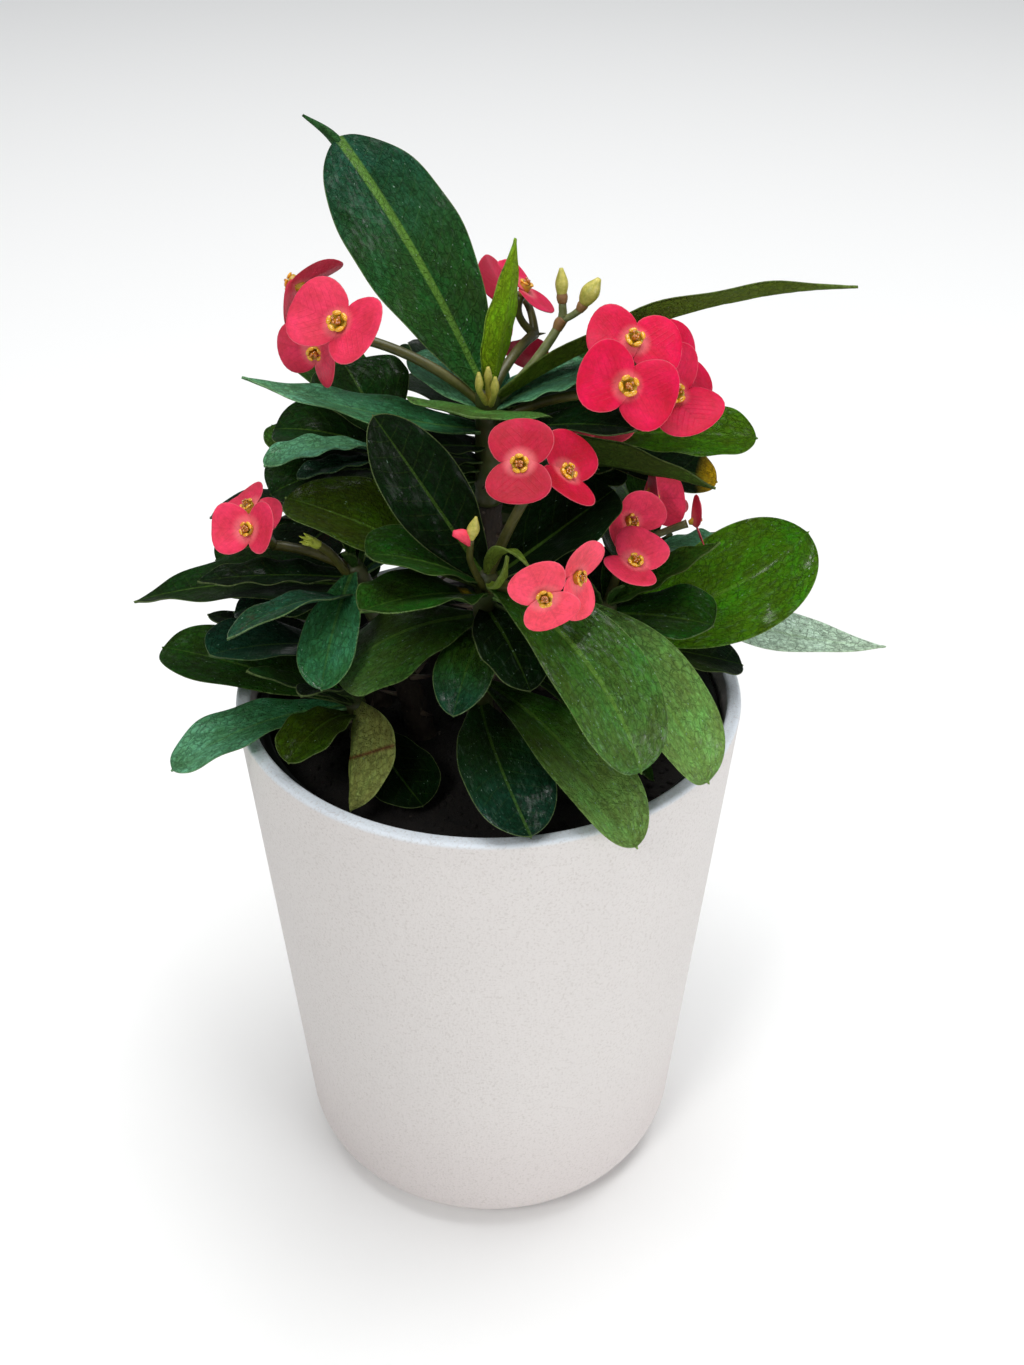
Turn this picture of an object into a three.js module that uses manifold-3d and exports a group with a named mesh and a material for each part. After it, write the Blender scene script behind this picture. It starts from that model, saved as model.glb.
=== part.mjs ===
// Crown of thorns, a thorny succulent spurge, in a white pot: the cover pot, the black grow pot and the
// soil inside it, eleven thorny stems, the leafy crown on each stem, and the flower heads.
// Millimetres, +Z up, with the origin at the centre of the pot's base.
import * as THREE from "three";
import { mergeVertices } from "three/addons/utils/BufferGeometryUtils.js";
import Module from "manifold-3d";

const wasm = await Module();
wasm.setup();

// ---------- driving dimensions ----------

const GAP = 0.3; // between pieces that rest on or in each other

// The cover pot: rim and foot are outer radii, and lip is the round of its rim's outer edge.
const POT = { rim: 75, foot: 61.5, height: 176, wall: 4.3, floor: 5, footRound: 16, lip: 2.6 };

// The grow pot stands on small feet inside the cover pot. Radii are outer ones.
const GROW = { foot: 52, lift: 4, shoulder: 67.3, band: 69, bandHeight: 9, rimZ: 170, wall: 1.5 };
const GROW_FEET = { count: 5, ring: 44, radius: 4 };
const DRAIN = { count: 6, ring: 34, radius: 4 };

const SOIL = { top: 162, lumps: 1.1, rings: [24, 48], slack: 0.8 };
const ROOTING = 34; // how deep a stem stands in the soil

const STEM = { radius: 3.8, main: 4.3, foot: 1.08, taper: 0.3, sides: 6, slack: 1 };
const STALK = { radius: 1.5, pedicel: 1.05, behind: 2.1 };
const THORN = { first: 4, step: 5.5, shortest: 9, longest: 13, radius: 0.95, rise: 22, clear: 2.4 };
const BLADE = 0.9; // thickness of a leaf
const BRACT = { length: 12.6, width: 17.5, base: 0.66, start: 0.05, fold: 0.1, lap: 0.5, thickness: 0.8 };
const CUP = { back: 1.8, front: 3.5, mouth: 2.9 };

const COLOURS = {
  cover_pot: [0xe6e1da, 0.6],
  grow_pot: [0x191a1b, 0.5],
  soil: [0x2b211a, 0.95],
  stem: [0x5a4a3c, 0.8],
  crown: [0x2f5f2b, 0.4],
  bloom: [0xd92f55, 0.5],
};

// Each shoot: the place of its foot on the soil, its tip, and how much of it is green crown.
const SHOOTS = {
  M: { foot: [0, 6], tip: [0, 0, 270], crown: 34 },
  A: { foot: [-3, -16], tip: [0, -31, 232], crown: 54 },
  B: { foot: [-20, -6], tip: [-37, -13, 224], crown: 18 },
  C: { foot: [-34, 10], tip: [-44, 2, 192], crown: 12 },
  J: { foot: [-36, -18], tip: [-38, -21, 184], crown: 10 },
  D: { foot: [20, -4], tip: [34, -5, 207], crown: 18 },
  E: { foot: [16, 20], tip: [25, 26, 247], crown: 17 },
  F: { foot: [-14, 22], tip: [-30, 26, 244], crown: 16 },
  G: { foot: [4, 36], tip: [6, 54, 230], crown: 26 },
  H: { foot: [34, 22], tip: [50, 32, 206], crown: 13 },
  I: { foot: [-32, 32], tip: [-46, 44, 210], crown: 13 },
};

// A leaf's half width along its length rises to 1 at its widest place and closes in a round or sharp tip.
const FORMS = {
  spoon: { widest: 0.7, end: 2.2, close: 0.5, base: 0.13, rise: 1.35 },
  oval: { widest: 0.56, end: 2.0, close: 0.55, base: 0.14, rise: 1.0 },
  lance: { widest: 0.45, end: 1.6, close: 0.95, base: 0.16, rise: 0.9 },
  round: { widest: 0.66, end: 2.3, close: 0.5, base: 0.12, rise: 1.2 },
  great: { widest: 0.6, end: 2.1, close: 0.56, base: 0.1, rise: 1.0 },
};

// The leaves of each shoot: how far below its tip a leaf starts, its heading (degrees from +X towards +Y),
// its rise (degrees), length, width, how far it droops along its length (degrees), its roll about its
// midrib (degrees) and its form. The last entry holds what is its own: the fold of its two halves, a bend
// to one side, the height of its waves, or lop, which makes one half narrower than the other.
const LEAVES = {
  M: [
    [1, 15, 76, 42, 14, -8, 52, "lance", { fold: 10 }], // narrow young leaf
    [2, 134, 54, 81, 31, 20, 26, "great", { fold: 6 }], // the tallest leaf
    [4, 8, 34, 103, 21, 36, 36, "lance", { fold: 14 }], // long strap to the right
    [5, 33, 0, 64, 22, -11, -8, "oval"],
    [6, 14, 27, 35, 21, 26, 1, "oval"], // ribbed
    [6, -97, 27, 33, 38, 9, 4, "oval", { fold: 4 }], // broad leaf seen on edge
    [6, 137, 24, 29, 20, 16, 3, "oval"], // ribbed
    [9, 108, 19, 59, 24, 39, -1, "oval"],
    [12, -176, 8, 66, 20, -14, -2, "lance", { fold: 10 }], // narrow leaf to the left
    [14, -30, 29, 46, 18, 25, -3, "spoon"],
    [16, 32, 9, 48, 22, 2, -6, "spoon"],
    [17, -157, 15, 26, 20, 9, 0, "oval"],
    [18, -11, 4, 62, 24, 17, 46, "lance"], // on edge
    [22, -153, 29, 34, 22, 45, 3, "spoon"],
  ],
  A: [
    [2, 177, 60, 54, 21, 2, 63, "oval", { fold: 8 }], // upright leaf with a curled tip
    [2, -64, 79, 34, 5, 90, 20, "lance"], // young leaf
    [2, -75, 10, 30, 4, -64, -20, "lance"], // young leaf
    [3, -46, 10, 70, 28, 77, -8, "round"], // the longest leaf at the front
    [3, 26, 25, 42, 34, -3, 0, "spoon"],
    [4, -160, 39, 36, 26, 26, 0, "spoon"],
    [5, 162, 27, 59, 33, 20, 0, "round"],
    [7, -15, -2, 82, 28, 62, -8, "round", { bend: -20 }], // arches over the right rim
    [8, -138, 29, 43, 24, 25, -2, "oval", { wave: 1 }], // waved edges
    [9, -8, -30, 45, 22, 30, 25, "spoon"],
    [12, -67, 1, 32, 20, 31, 0, "oval"],
    [16, -165, 11, 45, 35, 57, -3, "round", { fold: -8 }], // broad and domed
    [20, -103, 4, 34, 17, 31, 0, "oval"],
    [30, -11, -18, 63, 14, 38, 1, "spoon"],
    [42, -52, 12, 71, 23, 50, 0, "round"], // over the front rim
    [50, -86, 15, 59, 25, 36, 1, "spoon", { bend: 20 }], // over the front rim
  ],
  B: [
    [1, -101, -3, 40, 17, 44, -6, "spoon"], // arches round to the front
    [4, 36, 32, 34, 22, 44, 2, "spoon"],
    [5, -167, 15, 44, 14, 17, 0, "oval"],
    [8, 173, 4, 68, 30, 25, 0, "lance"],
    [12, -176, 5, 38, 26, 20, 0, "spoon"],
    [14, -120, 39, 66, 12, 37, -8, "oval"],
  ],
  C: [
    [1, 157, -12, 46, 12, -13, 0, "oval"],
    [2, 158, 34, 45, 24, 40, -3, "spoon"],
    [4, 11, 24, 36, 20, 30, 4, "spoon"],
    [6, 171, -5, 53, 24, 19, -7, "spoon"],
    [8, -140, 33, 50, 26, 24, 0, "spoon"],
  ],
  J: [
    [1, 157, 9, 64, 24, 14, 12, "spoon"],
    [1, -89, -8, 35, 15, 27, -19, "oval", { fold: 10, lop: -0.9 }], // folded on itself
    [1, -114, 56, 35, 10, 39, -1, "spoon"],
    [2, -148, 40, 39, 11, 7, 0, "oval"],
    [2, -169, 6, 55, 20, 30, 0, "spoon", { bend: 20 }],
    [5, -53, -31, 35, 22, -18, -3, "spoon"],
    [6, -120, 41, 35, 17, 65, 0, "spoon"],
  ],
  D: [
    [0, -6, 31, 37, 15, -10, -10, "lance", { fold: 26 }], // folded up
    [4, -30, 22, 35, 24, 20, -10, "spoon"],
    [4, 138, 27, 38, 20, 17, 20, "spoon"],
    [8, 12, -4, 68, 33, -50, -50, "round"], // turned up and facing front
    [8, 35, 11, 64, 22, 33, -13, "spoon"],
    [14, 4, -5, 47, 26, 15, 0, "spoon"],
  ],
  E: [
    [1, 70, 22, 48, 22, 30, 0, "spoon"],
    [3, -2, 8, 52, 20, 14, -25, "spoon"],
    [6, 38, 10, 55, 24, 23, 1, "spoon"],
    [7, -50, -44, 34, 22, 14, 26, "spoon"],
    [9, 2, 2, 44, 17, 27, -33, "spoon"],
    [10, -163, -5, 36, 18, 31, -7, "spoon"],
    [12, 79, -32, 45, 20, 32, -8, "spoon"],
  ],
  F: [
    [2, 126, 46, 28, 32, 20, 0, "spoon"],
    [3, 128, 34, 50, 24, 30, 0, "spoon"],
    [5, -139, 33, 44, 13, 40, 0, "spoon"], // pale, curled down
    [6, 172, 27, 35, 30, 35, 5, "spoon"],
    [6, -72, 23, 34, 22, 6, -1, "spoon"],
    [8, -143, 22, 32, 10, 28, -1, "spoon"],
    [10, 130, 3, 48, 26, 4, 0, "spoon"],
    [12, -155, 27, 39, 30, 49, 5, "spoon"],
  ],
  G: [
    [1, 130, 68, 55, 24, 59, -9, "spoon"],
    [2, -167, 51, 48, 20, 10, 0, "oval"],
    [4, 128, 26, 56, 26, 40, 0, "spoon"],
    [6, 46, 16, 58, 26, 40, 0, "spoon"],
    [10, 100, 2, 58, 28, 40, 0, "oval"],
    [20, 66, -6, 52, 24, 10, 0, "spoon"],
    [22, 122, -8, 50, 24, 10, 0, "spoon"],
  ],
  H: [
    [1, 92, 48, 44, 20, 30, 0, "spoon"],
    [2, -43, 30, 29, 20, 34, 0, "oval"],
    [2, -126, 16, 35, 24, 36, -3, "spoon"],
    [3, 14, 9, 56, 26, 52, 18, "spoon"],
    [4, 177, 28, 83, 22, 29, -54, "spoon"],
    [5, 95, 13, 68, 28, 41, 21, "spoon"],
    [8, 43, -31, 61, 26, 36, -4, "oval"],
    [9, 96, 2, 50, 24, 30, 0, "spoon"],
    [11, -5, -32, 81, 20, -33, -18, "lance"], // long and pale
  ],
  I: [
    [1, 140, 48, 36, 20, 26, -2, "spoon"],
    [2, -109, 13, 42, 24, 18, 4, "spoon"],
    [3, -179, 22, 42, 26, 41, -12, "spoon"],
    [4, -5, 17, 40, 24, 23, 10, "spoon"],
    [5, 81, 15, 54, 26, 80, -8, "spoon"],
    [6, -153, 14, 43, 22, 28, -1, "spoon"],
    [8, 157, -9, 62, 28, 38, 4, "oval"],
  ],
};
const FOLD = 14;

// The flower heads: each springs from a shoot, some way below its tip, and its blooms are given by their
// centre, the heading and rise that they face, their spin, their size, and how far they are cupped.
const HEADS = [
  { shoot: "M", down: 5, blooms: [
    [-36.5, -15, 294.5, -100, 40, -22, 1.07, { cup: 17, skew: -12 }],
    [-45, 2, 280.5, -98, -5, -8, 0.85, { cup: 22, skew: -28 }],
    [-50, 14.5, 293.5, 162, 15, 122, 1.01, { cup: -27, skew: 13 }],
  ] },
  { shoot: "M", down: 3, blooms: [
    [9.5, 24.5, 288.5, 15, 64, -133, 0.8, { cup: 6, skew: 15 }],
    [4.5, 34, 283, -198, -20, 95, 1],
  ] },
  { shoot: "M", down: 10, blooms: [
    [37.5, -9.5, 288, -91, 51, -6, 1, { cup: -1, skew: 11 }],
    [35, -20, 280.5, -76, 29, -28, 1.07, { cup: 15, skew: -7 }],
    [48.5, -6.5, 271.5, -74, 47, -69, 1.12, { cup: 32, skew: 7 }],
    [53, 17.5, 271.5, -31, 28, 68, 0.98, { cup: 4, skew: 13 }],
  ] },
  { shoot: "E", down: 3, blooms: [
    [29.5, 16, 251, -90, 78, -10, 0.95],
  ] },
  { shoot: "A", down: 2, blooms: [
    [8.5, -42.5, 270.5, -97, 25, 93, 0.93, { cup: 6, skew: 29 }],
    [19.5, -34, 263, -43, 44, 41, 0.92, { cup: 20, skew: 8 }],
  ] },
  { shoot: "D", down: 2, blooms: [
    [45, 10, 233, -58, 38, -17, 0.96, { cup: 39, skew: 34 }],
    [38, -8.5, 235.5, -37, 25, 34, 0.89, { cup: 33, skew: -24 }],
    [39, -25.5, 232, -70, 64, 48, 0.86, { cup: 20, skew: 5 }],
    [57.5, 3.5, 229, 4, 19, 99, 0.6, { skew: -13 }],
  ] },
  { shoot: "A", down: 6, blooms: [
    [14.5, -63.5, 245, -92, 24, 116, 0.84, { cup: -4, skew: -33 }],
    [22, -50.5, 243, -33, 15, 67, 0.86, { cup: 17, skew: -13 }],
  ] },
  { shoot: "B", down: 2, blooms: [
    [-62, -25.5, 242, -123, 35, 20, 0.79, { cup: 29, skew: 11 }],
    [-65.5, -2.5, 235.5, -156, 60, 6, 0.84, { cup: -9, skew: 7 }],
  ] },
  { shoot: "G", down: 2, blooms: [
    [-4, 86, 246, 106, 41, 2, 0.95],
    [14, 90, 238, 78, 30, 60, 0.9],
  ] },
  { shoot: "H", down: 2, blooms: [
    [54, 80, 190, 80, 40, 0, 0.95],
    [80, 60, 182, 20, 36, 80, 0.9],
  ] },
  { shoot: "I", down: 2, blooms: [
    [-56, 78, 216, 130, 36, 20, 0.95],
    [-63, 66, 204, 150, 40, 70, 0.9],
  ] },
];
const CUPPED = 14;

// Thin green shoots that carry no bloom. Each is its points with the radius there, and a closed bud is a
// swelling at its end.
const TWIGS = [
  // the drawn-out tip of the tallest leaf
  { shoot: "M", path: [[-38.5, 41.5, 320.5, 1.4], [-43, 42.5, 325.5, 1], [-49.6, 44, 329.3, 0.5]] },
  // the bud stalk beside the main tip, with a bud at each end of its fork
  {
    shoot: "M",
    path: [
      [2, 1, 266, 1.3], [11.6, 3, 276, 1.2], [19, 6, 286.6, 1.1], [19.5, 6, 292.6, 1],
      [19.2, 6.6, 296.5, 2.3], [19, 7, 301.2, 0.5],
    ],
  },
  { shoot: "M", path: [[19, 6, 286.6, 1], [24.4, 5, 291, 1], [26.6, 5, 294.8, 2.7], [28.8, 5, 299.2, 0.6]] },
  // three young buds at the main tip
  { shoot: "M", path: [[0.5, -1, 266, 1.1], [-2, -6, 272.6, 0.8], [-2.2, -6.4, 277.6, 1.3]] },
  { shoot: "M", path: [[0.5, -1, 266, 1.1], [0.2, -4, 273.4, 0.8], [0.2, -4.2, 278.2, 1.3]] },
  { shoot: "M", path: [[0.5, -1, 266, 1.1], [1.8, -6.5, 271.8, 0.8], [2.1, -7, 276.6, 1.3]] },
  // a small opening bud on the front shoot
  {
    shoot: "A",
    path: [
      [-0.5, -32, 228, 1.1], [-4, -38, 240, 0.9], [-3.8, -42, 249.2, 0.9], [-2.8, -42, 252.4, 1.7],
      [-2.4, -42, 255.4, 0.4],
    ],
  },
  { shoot: "A", path: [[-4, -41, 247, 0.8], [-5.6, -42.2, 250, 1.4], [-8.2, -42.6, 251, 0.6]] },
  // a snapped stalk on the left shoot
  { shoot: "B", path: [[-37.5, -14, 220, 1.3], [-42, -19, 231, 1.2], [-45.4, -22, 236, 1.1]] },
];

// ---------- shared helpers ----------

const DEG = Math.PI / 180;
const UP = new THREE.Vector3(0, 0, 1);
const vector = (p) => new THREE.Vector3(p[0], p[1], p[2]);
const mix = (a, b, share) => a.clone().lerp(b, share);

// The same number from 0 to 1 each time, for each whole number.
function chance(i) {
  const s = Math.sin(i * 12.9898) * 43758.5453;
  return s - Math.floor(s);
}

function heading(azimuth, rise) {
  const flat = Math.cos(rise * DEG);
  return new THREE.Vector3(
    flat * Math.cos(azimuth * DEG),
    flat * Math.sin(azimuth * DEG),
    Math.sin(rise * DEG),
  );
}

function curve(a, b, c, share) {
  return mix(mix(a, b, share), mix(b, c, share), share);
}

// A closed body from its corners and triangles.
function body(corners, triangles) {
  const vertProperties = new Float32Array(corners.flatMap((p) => [p.x, p.y, p.z]));
  const triVerts = new Uint32Array(triangles);
  return new wasm.Manifold(new wasm.Mesh({ numProp: 3, vertProperties, triVerts }));
}

// The body of a three.js geometry, facing out.
function bodyOf(geometry) {
  const bare = geometry.index ? geometry.toNonIndexed() : geometry.clone();
  bare.deleteAttribute("normal");
  bare.deleteAttribute("uv");
  const merged = mergeVertices(bare, 1e-4);
  const at = merged.attributes.position;
  const corners = Array.from({ length: at.count }, (_, i) => new THREE.Vector3().fromBufferAttribute(at, i));
  const faces = [];
  for (let i = 0; i < merged.index.count; i += 3) {
    const [a, b, c] = merged.index.array.slice(i, i + 3);
    if (a !== b && b !== c && c !== a) faces.push(a, b, c);
  }
  const made = body(corners, faces);
  return made.volume() > 0 ? made : body(corners, faces.reverse());
}

function geometryOf(made) {
  const mesh = made.getMesh();
  const geometry = new THREE.BufferGeometry();
  geometry.setAttribute("position", new THREE.BufferAttribute(mesh.vertProperties, 3));
  geometry.setIndex(new THREE.BufferAttribute(mesh.triVerts, 1));
  return geometry;
}

// A closed round tube along points, with a radius at each.
function tube(points, radii, sides) {
  const corners = [];
  const faces = [];
  let side = new THREE.Vector3(1, 0, 0);
  points.forEach((point, i) => {
    const next = points[Math.min(i + 1, points.length - 1)];
    const last = points[Math.max(i - 1, 0)];
    const along = next.clone().sub(last).normalize();
    if (i === 0 && Math.abs(along.x) > 0.9) side = new THREE.Vector3(0, 1, 0);
    side.addScaledVector(along, -side.dot(along)).normalize();
    const over = along.clone().cross(side);
    for (let k = 0; k < sides; k++) {
      const turn = (k / sides) * 2 * Math.PI;
      corners.push(
        point
          .clone()
          .addScaledVector(side, radii[i] * Math.cos(turn))
          .addScaledVector(over, radii[i] * Math.sin(turn)),
      );
    }
  });
  const rows = points.length;
  for (let i = 0; i + 1 < rows; i++) {
    for (let k = 0; k < sides; k++) {
      const a = i * sides + k;
      const b = i * sides + ((k + 1) % sides);
      faces.push(a, b, b + sides, a, b + sides, a + sides);
    }
  }
  for (let k = 1; k + 1 < sides; k++) {
    faces.push(0, k + 1, k);
    faces.push((rows - 1) * sides, (rows - 1) * sides + k, (rows - 1) * sides + k + 1);
  }
  return body(corners, faces);
}

// A spike from its foot to its tip.
function spike(foot, tip, radius, sides) {
  const along = tip.clone().sub(foot).normalize();
  const side = new THREE.Vector3(-along.y, along.x, 0).normalize();
  const over = along.clone().cross(side);
  const corners = [tip];
  const faces = [];
  for (let k = 0; k < sides; k++) {
    const turn = (k / sides) * 2 * Math.PI;
    const across = side.clone().multiplyScalar(Math.cos(turn)).addScaledVector(over, Math.sin(turn));
    corners.push(foot.clone().addScaledVector(across, radius));
    faces.push(0, k + 1, ((k + 1) % sides) + 1);
    if (k > 1) faces.push(1, k + 1, k);
  }
  return body(corners, faces);
}

function turned(profile, segments) {
  const geometry = new THREE.LatheGeometry(profile.map(([r, z]) => new THREE.Vector2(r, z)), segments);
  return bodyOf(geometry.rotateX(Math.PI / 2));
}

// An upright cylinder.
function post(x, y, low, high, radius, sides) {
  const geometry = new THREE.CylinderGeometry(radius, radius, high - low, sides);
  return bodyOf(geometry.rotateX(Math.PI / 2).translate(x, y, (low + high) / 2));
}

// ---------- pots and soil ----------

const potRadius = (z) => POT.foot + ((POT.rim - POT.foot) * z) / POT.height;

function coverPot() {
  const flat = potRadius(0) - POT.footRound;
  const profile = [[0, 0]];
  for (let k = 0; k <= 4; k++) {
    const turn = (k / 4) * (Math.PI / 2);
    const reach = potRadius(POT.footRound) - flat;
    profile.push([flat + reach * Math.sin(turn), POT.footRound * (1 - Math.cos(turn))]);
  }
  for (let k = 0; k <= 2; k++) {
    const turn = (k / 2) * (Math.PI / 2);
    const low = POT.height - POT.lip;
    profile.push([potRadius(low) - POT.lip * (1 - Math.cos(turn)), low + POT.lip * Math.sin(turn)]);
  }
  profile.push([potRadius(POT.height) - POT.wall + 0.5, POT.height]);
  profile.push([potRadius(POT.height) - POT.wall, POT.height - 0.6]);
  profile.push([potRadius(12) - POT.wall, 12]);
  profile.push([potRadius(12) - POT.wall - 5, POT.floor]);
  profile.push([0, POT.floor]);
  return turned(profile, 32);
}

const growFloor = POT.floor + GAP + GROW.lift;
const bandZ = GROW.rimZ - GROW.bandHeight;
const growRadius = (z) => GROW.foot + ((GROW.shoulder - GROW.foot) * (z - growFloor)) / (bandZ - growFloor);

function growPot() {
  let pot = turned(
    [
      [0, growFloor],
      [GROW.foot, growFloor],
      [GROW.shoulder, bandZ],
      [GROW.band, bandZ],
      [GROW.band, GROW.rimZ],
      [growRadius(bandZ) - GROW.wall + 0.5, GROW.rimZ],
      [growRadius(bandZ) - GROW.wall, bandZ],
      [growRadius(growFloor + 2) - GROW.wall, growFloor + 2],
      [0, growFloor + 2],
    ],
    32,
  );
  for (let k = 0; k < GROW_FEET.count; k++) {
    const turn = (k / GROW_FEET.count) * 2 * Math.PI;
    const [x, y] = [GROW_FEET.ring * Math.cos(turn), GROW_FEET.ring * Math.sin(turn)];
    pot = pot.add(post(x, y, POT.floor + GAP, growFloor + 1, GROW_FEET.radius, 6));
  }
  for (let k = 0; k < DRAIN.count; k++) {
    const turn = (k / DRAIN.count) * 2 * Math.PI;
    const [x, y] = [DRAIN.ring * Math.cos(turn), DRAIN.ring * Math.sin(turn)];
    pot = pot.subtract(post(x, y, growFloor - 2, growFloor + 4, DRAIN.radius, 8));
  }
  return pot;
}

function soil() {
  const low = growFloor + 2 + GAP;
  const edge = (z) => growRadius(z) - GROW.wall - SOIL.slack;
  const segments = 20;
  const corners = [new THREE.Vector3(0, 0, SOIL.top)];
  const faces = [];
  const ring = (radius, z) => {
    for (let k = 0; k < segments; k++) {
      const turn = (k / segments) * 2 * Math.PI;
      corners.push(new THREE.Vector3(radius * Math.cos(turn), radius * Math.sin(turn), z(k)));
    }
  };
  const lump = (seed) => SOIL.top + SOIL.lumps * (2 * chance(seed) - 1);
  SOIL.rings.forEach((radius, i) => ring(radius, (k) => lump(i * 40 + k)));
  ring(edge(SOIL.top - 1), () => SOIL.top - 1);
  ring(edge(low), () => low);
  corners.push(new THREE.Vector3(0, 0, low));
  const rows = SOIL.rings.length + 2;
  for (let k = 0; k < segments; k++) {
    const next = (k + 1) % segments;
    faces.push(0, 1 + k, 1 + next);
    for (let i = 0; i + 1 < rows; i++) {
      const a = 1 + i * segments;
      const b = a + segments;
      faces.push(a + k, b + k, b + next, a + k, b + next, a + next);
    }
    faces.push(corners.length - 1, 1 + (rows - 1) * segments + next, 1 + (rows - 1) * segments + k);
  }
  let made = body(corners, faces);
  for (const [name, shoot] of Object.entries(SHOOTS)) {
    const hole = stemRadius(name, 0) + STEM.slack;
    const bottom = SOIL.top - ROOTING - GAP;
    made = made.subtract(post(shoot.foot[0], shoot.foot[1], bottom, SOIL.top + 8, hole, 6));
  }
  return made;
}

// ---------- stems ----------

const shootLength = (name) => {
  const shoot = SHOOTS[name];
  return vector(shoot.tip).distanceTo(new THREE.Vector3(shoot.foot[0], shoot.foot[1], SOIL.top));
};

// A point on a shoot's axis: share 0 is at the soil and 1 at the tip. It leaves the soil almost upright.
function axisAt(name, share) {
  const { foot, tip } = SHOOTS[name];
  const low = new THREE.Vector3(foot[0], foot[1], SOIL.top);
  const high = vector(tip);
  const middle = new THREE.Vector3(
    low.x + (high.x - low.x) * 0.35,
    low.y + (high.y - low.y) * 0.35,
    (low.z + high.z) / 2,
  );
  return curve(low, middle, high, share);
}

const axisBelow = (name, down) => axisAt(name, Math.max(0, 1 - down / shootLength(name)));
function stemRadius(name, share) {
  const radius = name === "M" ? STEM.main : STEM.radius;
  return radius * (STEM.foot - STEM.taper * share);
}

function axisRun(name, from, to, steps) {
  const points = [];
  const radii = [];
  for (let k = 0; k <= steps; k++) {
    const share = from + ((to - from) * k) / steps;
    points.push(axisAt(name, share));
    radii.push(stemRadius(name, share));
  }
  return { points, radii };
}

const crownStart = (name) => 1 - SHOOTS[name].crown / shootLength(name);

// The woody part of a stem, from its foot in the soil up to its green crown, with its thorns.
function stem(name) {
  const run = axisRun(name, 0, crownStart(name) - GAP / shootLength(name), 3);
  const foot = run.points[0];
  const points = [new THREE.Vector3(foot.x, foot.y, SOIL.top - ROOTING), ...run.points];
  let made = tube(points, [run.radii[0], ...run.radii], STEM.sides);
  for (const thorn of thorns(name, "wood")) made = made.add(thorn);
  return made;
}

// ---------- leaves ----------

function halfShare(form, t) {
  const { widest, end, close, base, rise } = FORMS[form];
  if (t <= widest) return base + (1 - base) * Math.sin((Math.PI / 2) * (t / widest)) ** rise;
  return Math.max(0, 1 - ((t - widest) / (1 - widest)) ** end) ** close;
}

const leavesOf = (name) =>
  LEAVES[name].map(([down, azimuth, rise, length, width, droop, roll, form, own = {}]) => ({
    base: axisBelow(name, down),
    azimuth,
    rise,
    length,
    width,
    droop,
    roll,
    form,
    ...{ fold: FOLD, bend: 0, wave: 0, lop: 0 },
    ...own,
  }));

// The midrib of a leaf at share t of its length: its place, and the ways across and out of its face.
function ribAt(leaf, t) {
  const steps = 8;
  const at = leaf.base.clone();
  for (let i = 0; i < steps; i++) {
    const s = (t * (i + 0.5)) / steps;
    const along = heading(leaf.azimuth + leaf.bend * s, leaf.rise - leaf.droop * s);
    at.addScaledVector(along, (leaf.length * t) / steps);
  }
  const azimuth = leaf.azimuth + leaf.bend * t;
  const rise = leaf.rise - leaf.droop * t;
  const level = new THREE.Vector3(Math.sin(azimuth * DEG), -Math.cos(azimuth * DEG), 0);
  const over = heading(azimuth, rise + 90);
  const turn = leaf.roll * DEG;
  return {
    at,
    across: level.clone().multiplyScalar(Math.cos(turn)).addScaledVector(over, Math.sin(turn)),
    out: over.clone().multiplyScalar(Math.cos(turn)).addScaledVector(level, -Math.sin(turn)),
  };
}

// A point on a leaf: t runs from its base to its tip and v from one edge to the other.
function leafPoint(leaf, rib, t, v) {
  const half = Math.max((leaf.width / 2) * halfShare(leaf.form, t), 0.5);
  const side = v > 0 ? 1 : -1;
  const x = v * half * (1 + leaf.lop * side);
  const wave = leaf.wave * v * v * Math.sin(2 * Math.PI * 2.2 * t + (v > 0 ? 1.9 : 0));
  const lift = Math.abs(x) * Math.sin(leaf.fold * DEG) + wave;
  return rib.at
    .clone()
    .addScaledVector(rib.across, x * Math.cos(leaf.fold * DEG))
    .addScaledVector(rib.out, lift);
}

// A leaf's blade: two corners at its base, and an edge, the midrib and an edge at each station after it.
function leafBlade(leaf) {
  const stations = [0.38, 0.7, 0.92, 1];
  const corners = [];
  const faces = [];
  const row = (t, shares) => {
    const rib = ribAt(leaf, t);
    for (const v of shares) {
      for (const half of [BLADE / 2, -BLADE / 2]) {
        corners.push(leafPoint(leaf, rib, t, v).addScaledVector(rib.out, half));
      }
    }
  };
  row(0, [-1, 1]);
  stations.forEach((t) => row(t, [-1, 0, 1]));
  const quad = (a, b, c, d) => faces.push(a, b, c, a, c, d);
  const bothFaces = (a, b, c) => faces.push(a, b, c, a + 1, c + 1, b + 1);
  const [near, far] = [0, 2];
  const at = (i, j) => 4 + (i * 3 + j) * 2;
  bothFaces(near, far, at(0, 1));
  bothFaces(near, at(0, 1), at(0, 0));
  bothFaces(far, at(0, 2), at(0, 1));
  quad(near, near + 1, far + 1, far);
  quad(near, at(0, 0), at(0, 0) + 1, near + 1);
  quad(far, far + 1, at(0, 2) + 1, at(0, 2));
  const last = stations.length - 1;
  for (let i = 0; i < last; i++) {
    for (let j = 0; j < 2; j++) {
      bothFaces(at(i, j), at(i, j + 1), at(i + 1, j + 1));
      bothFaces(at(i, j), at(i + 1, j + 1), at(i + 1, j));
    }
    quad(at(i, 0), at(i + 1, 0), at(i + 1, 0) + 1, at(i, 0) + 1);
    quad(at(i, 2), at(i, 2) + 1, at(i + 1, 2) + 1, at(i + 1, 2));
  }
  for (let j = 0; j < 2; j++) {
    quad(at(last, j), at(last, j + 1), at(last, j + 1) + 1, at(last, j) + 1);
  }
  return body(corners, faces);
}

// ---------- flower heads ----------

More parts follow.
